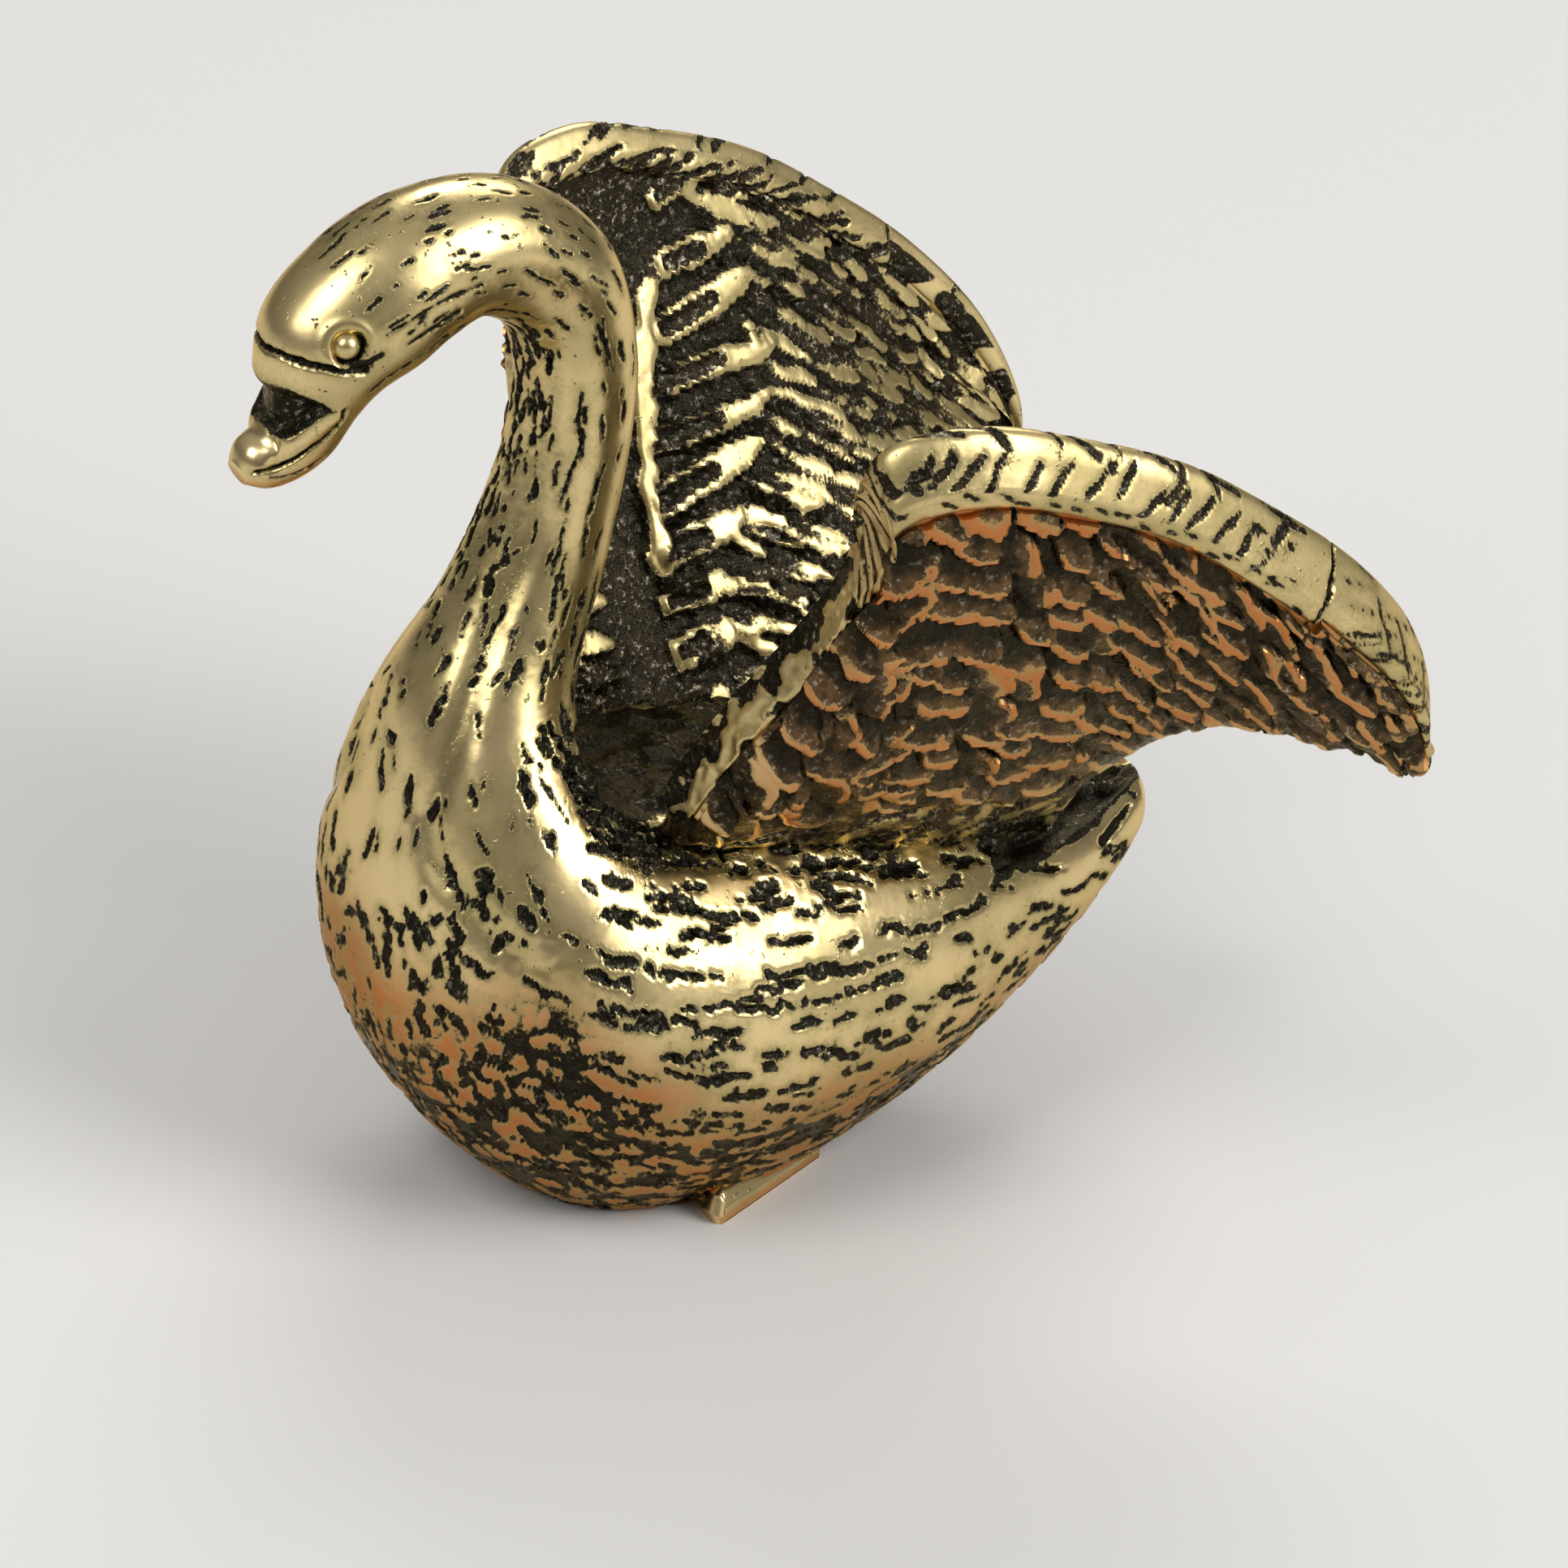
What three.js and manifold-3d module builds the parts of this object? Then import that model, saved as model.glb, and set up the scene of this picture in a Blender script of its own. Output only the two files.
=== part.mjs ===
// A small solid brass swan with raised wings, as the castings that it is brazed together from.
// Millimetres, +Z up, the bill towards -X, the swan's left side towards -Y.
// The origin is on the flat base, under the middle of the belly.
import * as THREE from "three";
import Module from "manifold-3d";
import { mergeVertices } from "three/addons/utils/BufferGeometryUtils.js";

const wasm = await Module();
wasm.setup();

// Main sizes, between the ribs' own points. The tables below are drawn at these and stretch with
// them, while the metal keeps its thickness.
const swanLength = 39.3; // from the bill's tip to the wing tips
const wingSpan = 28.8; // between the leading edges
const swanHeight = 37.5; // up to the top of the neck
const stretch = { x: swanLength / 39.3, y: wingSpan / 28.8, z: swanHeight / 37.5 };

// Fits
const brazeGap = 0.1; // clearance round every tongue, peg and pad that is brazed in
const neckJointHeight = 18.2 * stretch.z; // the neck casting stands on a flat pad at this height
const neckPegRadius = 1.6;
const neckPegLength = 3.2;
const wingTongue = 1.5; // how far a wing's root runs into its slot in the flank

// The trunk's ribs, from the tail to the bill: a point on the back line, a point on the belly
// line, both as [x, z], and half the width there.
const tailRibs = [
  { back: [18.8, 10.1], belly: [18.7, 9.4], half: 0.8 },
  { back: [17.9, 11.2], belly: [17.4, 8], half: 2.6 },
  { back: [15.0, 12], belly: [14.4, 5.3], half: 4.3 },
];
const bodyRibs = [
  { back: [11.2, 13.1], belly: [10.8, 2.7], half: 5.9 },
  { back: [7.0, 14.7], belly: [6.5, 0.3], half: 7.7 },
  { back: [2.0, 15.9], belly: [1.0, -1.4], half: 8.9 },
  { back: [-1.6, 16.3], belly: [-4.4, -0.8], half: 9.3 },
];
const breastRibs = [
  { back: [-3.6, 16.6], belly: [-8.8, 2.3], half: 8.8 },
  { back: [-4.5, 17], belly: [-11.6, 6.6], half: 7.7 },
  { back: [-4.9, 17.5], belly: [-12.5, 11.1], half: 6.3 },
  { back: [-5.0, 18.1], belly: [-11.95, 15.9], half: 4.9 },
];
const neckRibs = [
  { back: [-5.0, 18.9], belly: [-11.0, 19.5], half: 3.7 },
  { back: [-4.6, 20.6], belly: [-9.4, 22.5], half: 2.75 },
  { back: [-3.7, 23.8], belly: [-8.1, 25.2], half: 2.35 },
  { back: [-2.95, 28.4], belly: [-7.2, 28.8], half: 2.15 },
  { back: [-3.0, 31.1], belly: [-7.15, 30.4], half: 2.1 },
  { back: [-4.3, 34.9], belly: [-7.75, 32.2], half: 2.2 },
  { back: [-8.1, 37.5], belly: [-9.35, 33], half: 2.35 },
];
const headRibs = [
  { back: [-11.9, 37.4], belly: [-10.5, 32.5], half: 2.55 },
  { back: [-14.4, 36.2], belly: [-11.45, 31.8], half: 2.6 },
  { back: [-16.5, 34.1], belly: [-12.7, 31.2], half: 2.35 },
];
const billRibs = [
  { back: [-16.9, 31.8], belly: [-13.4, 30.5], half: 1.85 },
  { back: [-16.9, 30.6], belly: [-14.4, 29.1], half: 1.5 },
  { back: [-16.9, 30], belly: [-15.6, 28.4], half: 1.3 },
  { back: [-17.3, 29.6], belly: [-16.7, 28.2], half: 1.05 },
  { back: [-17.7, 29.1], belly: [-17.4, 28.4], half: 0.5 },
];
const trunkRibs = [tailRibs, bodyRibs, breastRibs, neckRibs, headRibs, billRibs].flat();

// Places along the trunk, counted in ribs from the tail, with angles in degrees from the back
// line down the side.
const crown = tailRibs.length + bodyRibs.length + breastRibs.length + neckRibs.length;
const billRoot = crown + headRibs.length;
const eyePlace = { station: crown + 1.73, angle: 66 };
const beadRadius = 0.48; // the eye
const beadProud = 0.3; // how far the eye stands out of the head
const eyeRing = 0.2; // the open ring round the bead
const browPath = [
  { station: billRoot - 0.6, angle: 0 },
  { station: billRoot - 0.66, angle: 33 },
  { station: billRoot - 0.77, angle: 58 },
  { station: billRoot - 0.88, angle: 76 },
];
const browRadius = 0.2;
const mouthPath = [
  { station: billRoot + 3.1, angle: 84 },
  { station: billRoot + 2, angle: 76 },
  { station: billRoot + 0.9, angle: 86 },
  { station: billRoot + 0.4, angle: 101 },
  { station: billRoot + 0.05, angle: 105 },
  { station: billRoot - 0.2, angle: 96 },
];
const mouthRadius = 0.14;
const billDish = { station: billRoot + 0.7, proud: 0.3, along: 0.85, across: 1.2, deep: 0.9 };
const billNail = { station: billRoot + 2.95, proud: -0.35, radius: 0.66 }; // the knob at the tip
const tailDish = { station: 1.75, proud: 0.55, along: 3.6, across: 2.8, deep: 2.0 };
const flankPath = [
  { station: 10, angle: 71 },
  { station: 9.2, angle: 63 },
  { station: 8.2, angle: 58 },
  { station: 7.2, angle: 55 },
  { station: 6.2, angle: 54 },
  { station: 5.2, angle: 55 },
  { station: 4.2, angle: 58 },
  { station: 3.2, angle: 62 },
  { station: 2.4, angle: 65 },
];
const flankRadius = 0.3; // the groove where the smooth flank meets the rough wing root
const backTrough = 1.3; // how deep the back is hollowed between the wings
const keel = 0.09; // how much of its width the lower flank draws in by
const fullWidth = { from: 5, to: 8.5 }; // the half widths over which both of those set in

// A wing's ribs, from the shoulder over the wrist to the tip: a point on its leading edge, as
// [x, y, z] on the swan's right side, and the place across the wing from it. The rooted ones
// end on the flank, and the rest on the free trailing edge.
const rootedRibs = [
  { lead: [-4.0, 5.7, 16.5], root: { station: 6.75, angle: 32 } },
  { lead: [-2.7, 7.3, 20.3], root: { station: 6.2, angle: 32 } },
  { lead: [-1.0, 9.3, 24.4], root: { station: 5.6, angle: 34 } },
  { lead: [-0.6, 11.2, 28.2], root: { station: 4.9, angle: 37 } },
  { lead: [-0.8, 12.5, 31.3], root: { station: 4.25, angle: 40 } },
  { lead: [2.2, 13.5, 32.0], root: { station: 3.55, angle: 42 } },
  { lead: [6.3, 14.0, 30.9], root: { station: 2.8, angle: 42 } },
];
const freeRibs = [
  { lead: [9.8, 14.3, 29.5], trail: [13.9, 5.5, 14.2] },
  { lead: [13.2, 14.4, 27.4], trail: [15.2, 8.0, 16.5] },
  { lead: [16.8, 14.3, 24.8], trail: [16.9, 9.9, 17.0] },
  { lead: [19.7, 13.9, 21.8], trail: [18.9, 11.1, 16.5] },
  { lead: [21.3, 13.3, 18.8], trail: [20.6, 12.1, 16.0] },
  { lead: [21.6, 12.8, 16.9], trail: [21.5, 12.6, 15.9] },
];
const wingRibs = [...rootedRibs, ...freeRibs];
const wristShare = 4 / (wingRibs.length - 1); // where the wrist is along the leading edge
const notchShare = 8.7 / (wingRibs.length - 1); // where the band is notched across

// Wing sections
const bandWidth = 2.3; // the polished band along the leading edge, at the wrist
const bandThickness = 2.0;
const innerBandShare = 0.8; // the band's width inside, as a share of its width outside
const bandNotch = 0.3;
const webThickness = 1.15; // the feathered sheet below the band
const trailingThickness = 0.75;
const wingCamber = 1.2;

// Feathers: scalloped rows outside, and inside slanted bars that meet at a quill.
const featherRows = 5;
const feathersPerRow = 13;
const featherLap = 0.3; // how far a feather's end stands over the row below
const scallopDepth = 0.75;
const barCount = 5;
const barDepth = 0.4;
const barSlant = 8; // how many bars a slanted one crosses along a whole wing
const quillTop = 0.52; // where the quill starts under the band, along the wing
const quillFoot = 0.3; // and where it ends at the root
const quillRise = 0.3;

// Feet: each a rolled outer toe, and a ribbed web that climbs from it into the belly
const footLength = 6.5;
const footSplay = 25; // degrees, toes outwards
const footHeel = [4.3, 3.9, 0]; // the outer corner of the heel, drawn with the tables above
const footWidth = { toe: 3.4, heel: 1.6 };
const footRoll = { toe: 1.15, heel: 0.7 }; // the height of the rolled toe
const footCrest = { toe: 2.6, heel: 1.6 }; // the height inside the belly
const toeRoundShare = 0.14; // the share of the foot's length over which the toe rounds off
const webRibs = 8;
const webRibDepth = 0.14;

// Surface fineness
const ringsPerRib = 3;
const trunkSides = 20;
const ringsPerFeather = 4;
const insideSteps = 12;

const degrees = THREE.MathUtils.degToRad;
const vector = (x, y, z) => new THREE.Vector3(x, y, z);
const placed = (x, y, z) => vector(stretch.x * x, stretch.y * y, stretch.z * z);
const smooth = (points) => new THREE.CatmullRomCurve3(points, false, "centripetal");
const ease = THREE.MathUtils.smoothstep;
const mix = THREE.MathUtils.lerp;

// Joins rings of points into one closed skin, with a fan at each end.
function skin(rings) {
  const sides = rings[0].length;
  const vertices = rings.flat().flatMap((p) => p.toArray());
  const faces = [];
  for (let i = 0; i + 1 < rings.length; i++)
    for (let j = 0; j < sides; j++) {
      const [a, b] = [i * sides + j, i * sides + ((j + 1) % sides)];
      faces.push(a, b, a + sides, b, b + sides, a + sides);
    }
  for (const [first, flip] of [[0, true], [(rings.length - 1) * sides, false]]) {
    const centre = vertices.length / 3;
    const middle = vector(0, 0, 0);
    for (let j = 0; j < sides; j++) middle.add(vector().fromArray(vertices, 3 * (first + j)));
    vertices.push(...middle.divideScalar(sides).toArray());
    for (let j = 0; j < sides; j++) {
      const [a, b] = [first + j, first + ((j + 1) % sides)];
      faces.push(...(flip ? [b, a, centre] : [a, b, centre]));
    }
  }
  const geometry = new THREE.BufferGeometry();
  geometry.setAttribute("position", new THREE.Float32BufferAttribute(vertices, 3));
  geometry.setIndex(faces);
  return geometry;
}

// A closed geometry as a solid that faces outwards.
function solid(geometry) {
  const bare = geometry.clone();
  bare.deleteAttribute("normal");
  bare.deleteAttribute("uv");
  const merged = mergeVertices(bare, 1e-4);
  const corners = Uint32Array.from(merged.index.array);
  const build = () =>
    new wasm.Manifold(
      new wasm.Mesh({
        numProp: 3,
        vertProperties: Float32Array.from(merged.attributes.position.array),
        triVerts: corners,
      }),
    );
  const made = build();
  if (made.volume() > 0) return made;
  for (let i = 0; i < corners.length; i += 3)
    [corners[i + 1], corners[i + 2]] = [corners[i + 2], corners[i + 1]];
  return build();
}

function geometryOf(made) {
  const mesh = made.getMesh();
  const geometry = new THREE.BufferGeometry();
  geometry.setAttribute("position", new THREE.Float32BufferAttribute(mesh.vertProperties, 3));
  geometry.setIndex(new THREE.BufferAttribute(mesh.triVerts, 1));
  geometry.computeVertexNormals();
  return geometry;
}

// Trunk: one flowing form from the tail to the bill, which both trunk castings are cut from.
const lastRib = trunkRibs.length - 1;
const backLine = smooth(trunkRibs.map((rib) => placed(rib.back[0], 0, rib.back[1])));
const bellyLine = smooth(trunkRibs.map((rib) => placed(rib.belly[0], 0, rib.belly[1])));
const halfLine = smooth(trunkRibs.map((rib, i) => placed(3 * i, rib.half, 0)));

function trunkPoint(station, angle) {
  const t = THREE.MathUtils.clamp(station / lastRib, 0, 1);
  const [back, belly] = [backLine.getPoint(t), bellyLine.getPoint(t)];
  const half = halfLine.getPoint(t).y;
  const full = ease(half, fullWidth.from, fullWidth.to);
  const dip = (backTrough * full * Math.max(0, Math.cos(angle)) ** 6) / back.distanceTo(belly);
  const point = belly.lerp(back, (1 + Math.cos(angle)) / 2 - dip);
  const drawnIn = Math.cos(angle) < 0 ? keel * full * Math.sin(2 * angle) ** 2 : 0;
  point.y = half * (1 - drawnIn) * Math.sin(angle);
  return point;
}

// The frame of a place on the trunk: the point, and the directions outwards and along.
function placeOn({ station, angle = 0, proud = 0 }, side = 1) {
  const turn = side * degrees(angle);
  const nudge = 0.02;
  const along = trunkPoint(station + nudge, turn).sub(trunkPoint(station - nudge, turn)).normalize();
  const round = trunkPoint(station, turn + nudge).sub(trunkPoint(station, turn - nudge));
  const out = round.cross(along).normalize();
  return { point: trunkPoint(station, turn).addScaledVector(out, proud), out, along };
}

function trunk() {
  const rings = [];
  for (let i = 0; i <= lastRib * ringsPerRib; i++) {
    const ring = [];
    for (let j = 0; j < trunkSides; j++)
      ring.push(trunkPoint(i / ringsPerRib, (2 * Math.PI * j) / trunkSides));
    rings.push(ring);
  }
  return solid(skin(rings));
}

// A round bar along points, for cutting grooves.
function bar(points, radius) {
  const line = smooth(points);
  const steps = 2 * points.length;
  const frames = line.computeFrenetFrames(steps);
  const rings = [];
  for (let i = 0; i <= steps; i++) {
    const ring = [];
    for (let j = 0; j < 6; j++) {
      const a = (2 * Math.PI * j) / 6;
      const p = line.getPointAt(i / steps);
      p.addScaledVector(frames.normals[i], radius * Math.cos(a));
      ring.push(p.addScaledVector(frames.binormals[i], radius * Math.sin(a)));
    }
    rings.push(ring);
  }
  return solid(skin(rings));
}

function groove(path, radius, side) {
  return bar(path.map((place) => placeOn(place, side).point), radius);
}

// A dish-shaped cutter on the trunk's back line.
function dish({ station, proud, along, across, deep }) {
  const place = placeOn({ station, proud });
  const crosswise = place.out.clone().cross(place.along);
  const ball = new THREE.SphereGeometry(1, 18, 11).scale(along, across * stretch.y, deep);
  const turn = new THREE.Matrix4().makeBasis(place.along, crosswise, place.out);
  return solid(ball.applyMatrix4(turn).translate(...place.point.toArray()));
}

function ball(centre, radius) {
  return solid(new THREE.SphereGeometry(radius, 12, 8).translate(...centre.toArray()));
}

// Everything on the ground side, or on the sky side, of a height.
function halfSpace(height, sign) {
  const reach = 200;
  const box = new THREE.BoxGeometry(reach, reach, reach);
  return solid(box.translate(0, 0, height + (sign * reach) / 2));
}

// Wing: rings of points across the wing, down the outer face and back up the inner one.
const leadingLine = smooth(wingRibs.map((rib) => placed(...rib.lead)));
const across = (rib) => (rib.root ? placeOn(rib.root).point : placed(...rib.trail));
const trailingLine = smooth(wingRibs.map(across));
const rootShare = (rootedRibs.length - 0.5) / (wingRibs.length - 1);

// 1 at the middle of a feather's rounded end, and 0 in the notches between.
function scallop(x) {
  const off = 2 * (x - Math.floor(x)) - 1;
  return Math.sqrt(Math.max(0, 1 - off * off));
}

function bandAt(share) {
  const growing = mix(0.35, 1, ease(share, 0, wristShare));
  const shrinking = mix(1, 0.5, ease(share, notchShare, 1));
  const afterNotch = share > notchShare ? 0.85 : 1;
  return growing * shrinking * afterNotch;
}

// The outer face's heights over the middle sheet, as [reach, lift] from the leading edge down.
function outsideProfile(share, reach, web, notched) {
  const size = bandAt(share);
  const band = Math.min(bandWidth * size, 0.6 * reach);
  const rim = (bandThickness / 2) * mix(0.6, 1, size) - notched;
  const rows = [[0, 0.45 * rim], [0.3 * band, rim], [0.9 * band, rim], [band + 0.1, web(0.1)]];
  const field = reach - band;
  const lap = featherLap * Math.min(1, field / 6);
  for (let row = 0; row < featherRows; row++) {
    const edge = (row + 1) / featherRows;
    const notch = scallopDepth * (1 - scallop(share * feathersPerRow + (row % 2) / 2));
    const end = band + field * edge - notch * Math.min(1, field / 10);
    rows.push([end, web(edge) + lap], [end + 0.12, web(edge)]);
  }
  return rows;
}

// The inner face's heights, from the leading edge down: a low band, then slanted bars on both
// sides of the quill.
function insideProfile(share, reach, web, notched) {
  const size = bandAt(share);
  const band = Math.min(innerBandShare * bandWidth * size, 0.5 * reach);
  const rim = (bandThickness / 2) * mix(0.6, 1, size) - notched;
  const rows = [[0, 0.45 * rim], [0.35 * band, rim], [band, 0.9 * rim]];
  for (let i = 1; i <= insideSteps; i++) {
    const down = i / insideSteps;
    const beside = share - mix(quillTop, quillFoot, ease(down, 0.2, 1.1));
    const slant = barSlant * Math.abs(beside);
    const quill = quillRise * Math.exp(-((beside / 0.014) ** 2));
    const wave = Math.sin(Math.PI * (barCount * down - slant)) ** 2;
    const field = Math.min(1, reach / 8) * Math.sin(Math.PI * Math.min(1, 1.15 * down)) ** 0.5 || 0;
    rows.push([mix(band + 0.1, reach, down), web(down) + field * (barDepth * wave + quill)]);
  }
  return rows;
}

function wingRing(share, side) {
  const [lead, trail] = [leadingLine.getPoint(share), trailingLine.getPoint(share)];
  const span = lead.distanceTo(trail);
  const down = trail.clone().sub(lead).divideScalar(span);
  const out = leadingLine.getTangent(share).cross(down).normalize();
  const tongue = wingTongue * (1 - ease(share, rootShare - 0.02, rootShare + 0.02));
  const free = ease(share, rootShare, rootShare + 0.1);
  const frill = free * 0.5 * scallopDepth * (1 - scallop(share * feathersPerRow));
  const reach = span + tongue - frill;
  const web = (c) => mix(webThickness, trailingThickness, c) / 2;
  const notched = bandNotch * Math.exp(-(((share - notchShare) / 0.006) ** 2));
  const at = ([run, lift], face) => {
    const bow = wingCamber * Math.sin(Math.PI * Math.min(1, run / span)) * Math.min(1, span / 8);
    const p = lead.clone().addScaledVector(down, run).addScaledVector(out, bow + face * lift);
    p.y *= side;
    return p;
  };
  const outside = outsideProfile(share, reach, web, notched).map((row) => at(row, 1));
  const inside = insideProfile(share, reach, web, notched).map((row) => at(row, -1));
  return [...outside, ...inside.reverse()];
}

function wing(side) {
  const shares = [notchShare - 0.005, notchShare, notchShare + 0.005];
  const count = feathersPerRow * ringsPerFeather;
  for (let i = 0; i <= count; i++) shares.push(i / count);
  shares.sort((a, b) => a - b);
  return solid(skin(shares.map((share) => wingRing(share, side))));
}

// The slot in the flank that takes a wing's tongue.
function wingSlot(side) {
  const thick = webThickness / 2 + featherLap + brazeGap;
  const rings = [];
  const count = 4 * rootedRibs.length;
  for (let i = 0; i <= count; i++) {
    const share = (i / count) * (rootShare + 0.03);
    const [lead, trail] = [leadingLine.getPoint(share), trailingLine.getPoint(share)];
    const span = lead.distanceTo(trail);
    const down = trail.clone().sub(lead).divideScalar(span);
    const along = leadingLine.getTangent(share);
    const out = along.clone().cross(down).normalize();
    if (i === 0) lead.addScaledVector(along, -brazeGap);
    const deep = wingTongue + 2 * brazeGap;
    const section = [[-1, 1], [deep, 1], [deep, -1], [-1, -1]];
    rings.push(
      section.map(([over, face]) => {
        const run = over < 0 ? Math.max(0.2 * span, span - 2.5) : span + over;
        const bow = wingCamber * Math.sin(Math.PI * Math.min(1, run / span)) * Math.min(1, span / 8);
        const p = lead.clone().addScaledVector(down, run).addScaledVector(out, bow + face * thick);
        p.y *= side;
        return p;
      }),
    );
  }
  return solid(skin(rings));
}

// Foot: sections from the toes to the heel, each standing on the ground.
function foot(side, grow = 0) {
  const [cos, sin] = [Math.cos(degrees(footSplay)), Math.sin(degrees(footSplay))];
  const heel = placed(...footHeel);
  const steps = 2 * webRibs;
  const rings = [];
  for (let i = 0; i <= steps; i++) {
    const toe = 1 - i / steps;
    const run = footLength * toe + (i === 0 ? grow : i === steps ? -grow : 0);
    const past = Math.max(0, (toe - 1) / toeRoundShare + 1);
    const low = mix(1, 0.62, past * past);
    const width = mix(footWidth.heel, footWidth.toe, toe);
    const roll = low * mix(footRoll.heel, footRoll.toe, toe);
    const rib = (i % 2) * webRibDepth;
    const crest = low * mix(footCrest.heel, footCrest.toe, toe) - rib;
    const section = [
      [0.2 * roll - grow, 0],
      [-grow, 0.45 * roll],
      [0.12 * roll - grow, 0.85 * roll + grow],
      [0.5 * roll, roll + grow],
      [0.95 * roll, 0.8 * roll + grow],
      [1.2 * roll, 0.72 * roll + grow],
      [mix(1.2 * roll, width, 0.5), mix(0.75 * roll, crest, 0.6) - rib + grow],
      [width + grow, crest + grow],
      [width + grow, 0],
    ];
    rings.push(
      section.map(([inwards, z]) => {
        const x = heel.x - run * cos + inwards * sin * 0.3;
        const y = heel.y + run * sin - inwards;
        return vector(x, side * y, z);
      }),
    );
  }
  return solid(skin(rings));
}

const finishes = {
  plain: new THREE.MeshStandardMaterial({ color: 0xc99a4c, roughness: 0.28, metalness: 1 }),
  darkened: new THREE.MeshStandardMaterial({ color: 0x9a7440, roughness: 0.42, metalness: 1 }),
};

const swan = new THREE.Group();
swan.name = "brass_swan";
function add(name, made, finish) {
  const mesh = new THREE.Mesh(geometryOf(made), finish);
  mesh.name = name;
  swan.add(mesh);
}

const sides = { left: -1, right: 1 };
const whole = trunk();
const neckSection = placeOn({ station: crown - neckRibs.length, angle: 0 }).point;
const neckFront = placeOn({ station: crown - neckRibs.length, angle: 180 }).point;
const pegX = (neckSection.x + neckFront.x) / 2;

// The peg under the neck, or the hole for it.
function neckPeg(grow = 0) {
  const [radius, length] = [neckPegRadius + grow, neckPegLength + grow];
  const upright = new THREE.CylinderGeometry(radius, radius, length, 24).rotateX(Math.PI / 2);
  return solid(upright.translate(pegX, 0, neckJointHeight - length / 2));
}

function eyeCentre(side) {
  return placeOn({ ...eyePlace, proud: beadProud - beadRadius }, side).point;
}

function neckAndHead() {
  let made = whole.intersect(halfSpace(neckJointHeight, 1)).add(neckPeg());
  const nail = placeOn(billNail);
  made = made.subtract(dish(billDish)).add(ball(nail.point, billNail.radius));
  for (const side of Object.values(sides)) {
    made = made.subtract(groove(browPath, browRadius, side));
    made = made.subtract(groove(mouthPath, mouthRadius, side));
    made = made.subtract(ball(eyeCentre(side), beadRadius + eyeRing));
  }
  return made;
}

function body() {
  let made = whole.intersect(halfSpace(neckJointHeight, -1)).intersect(halfSpace(0, 1));
  made = made.subtract(neckPeg(brazeGap)).subtract(dish(tailDish));
  for (const side of Object.values(sides)) {
    made = made.subtract(groove(flankPath, flankRadius, side));
    made = made.subtract(wingSlot(side)).subtract(foot(side, brazeGap));
  }
  return made;
}

add("body", body(), finishes.plain);
add("neck_and_head", neckAndHead(), finishes.plain);
for (const [name, side] of Object.entries(sides)) {
  add(name + "_wing", wing(side), finishes.darkened);
  add(name + "_foot", foot(side), finishes.plain);
  add(name + "_eye", ball(eyeCentre(side), beadRadius), finishes.plain);
}

export default swan;
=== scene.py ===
import itertools
import math

import bpy
import numpy as np
from mathutils import Matrix, Vector


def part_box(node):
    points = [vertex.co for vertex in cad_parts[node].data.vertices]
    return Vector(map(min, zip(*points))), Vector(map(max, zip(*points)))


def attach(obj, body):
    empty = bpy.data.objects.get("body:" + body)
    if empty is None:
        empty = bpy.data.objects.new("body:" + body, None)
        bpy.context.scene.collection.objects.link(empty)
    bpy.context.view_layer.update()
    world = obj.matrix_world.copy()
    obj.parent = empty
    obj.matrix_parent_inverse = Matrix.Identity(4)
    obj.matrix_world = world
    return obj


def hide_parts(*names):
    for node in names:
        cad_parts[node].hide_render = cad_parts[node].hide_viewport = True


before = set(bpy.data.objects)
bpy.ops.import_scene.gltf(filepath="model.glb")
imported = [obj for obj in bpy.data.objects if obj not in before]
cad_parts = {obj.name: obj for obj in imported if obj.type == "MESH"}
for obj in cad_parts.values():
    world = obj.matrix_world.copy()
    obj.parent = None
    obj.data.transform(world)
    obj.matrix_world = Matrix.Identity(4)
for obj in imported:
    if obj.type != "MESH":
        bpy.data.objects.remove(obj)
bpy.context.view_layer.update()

mm = 0.001

def select(piece):
    bpy.ops.object.select_all(action="DESELECT")
    piece.select_set(True)
    bpy.context.view_layer.objects.active = piece


# Opens a piece for editing with all of it selected.
def openPiece(piece):
    select(piece)
    bpy.ops.object.mode_set(mode="EDIT")
    bpy.ops.mesh.select_all(action="SELECT")


def faceOutwards(piece):
    openPiece(piece)
    bpy.ops.mesh.normals_make_consistent(inside=False)
    bpy.ops.object.mode_set(mode="OBJECT")


def addLayer(mesh, name, values):
    mesh.attributes.new(name, "FLOAT", "POINT").data.foreach_set("value", values.astype(np.float32).ravel())


# Camera, light and floor
studio = {
    "cameraAt": (-0.1581, -0.2466, 0.1659),
    "aim": (0.00434, 0, 0.01264),
    "lens": 224,
    "lean": 4,  # degrees that the upright leans to the right in the picture
    "clip": (0.01, 10),
    "floorColour": (0.58, 0.57, 0.55, 1),
    "floorSize": 3,
    "worldLevel": 0.5,
    # shares of the height at which the ground ends and the sky is full, and their colours
    "horizon": [(0.42, (0.10, 0.097, 0.092, 1)), (0.95, (0.90, 0.90, 0.92, 1))],
    "lit": (0.002, 0, 0.016),
    # place, size and watts of each soft box; all of them face the swan
    "boxes": [
        ("leftBox", (-0.48, -0.10, 0.48), (0.32, 0.42), 2.45),
        ("rightBox", (0.32, -0.51, 0.42), (0.42, 0.51), 4.7),
        ("backBox", (0.35, 0.45, 0.48), (0.42, 0.26), 2.1),
    ],
}


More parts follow.
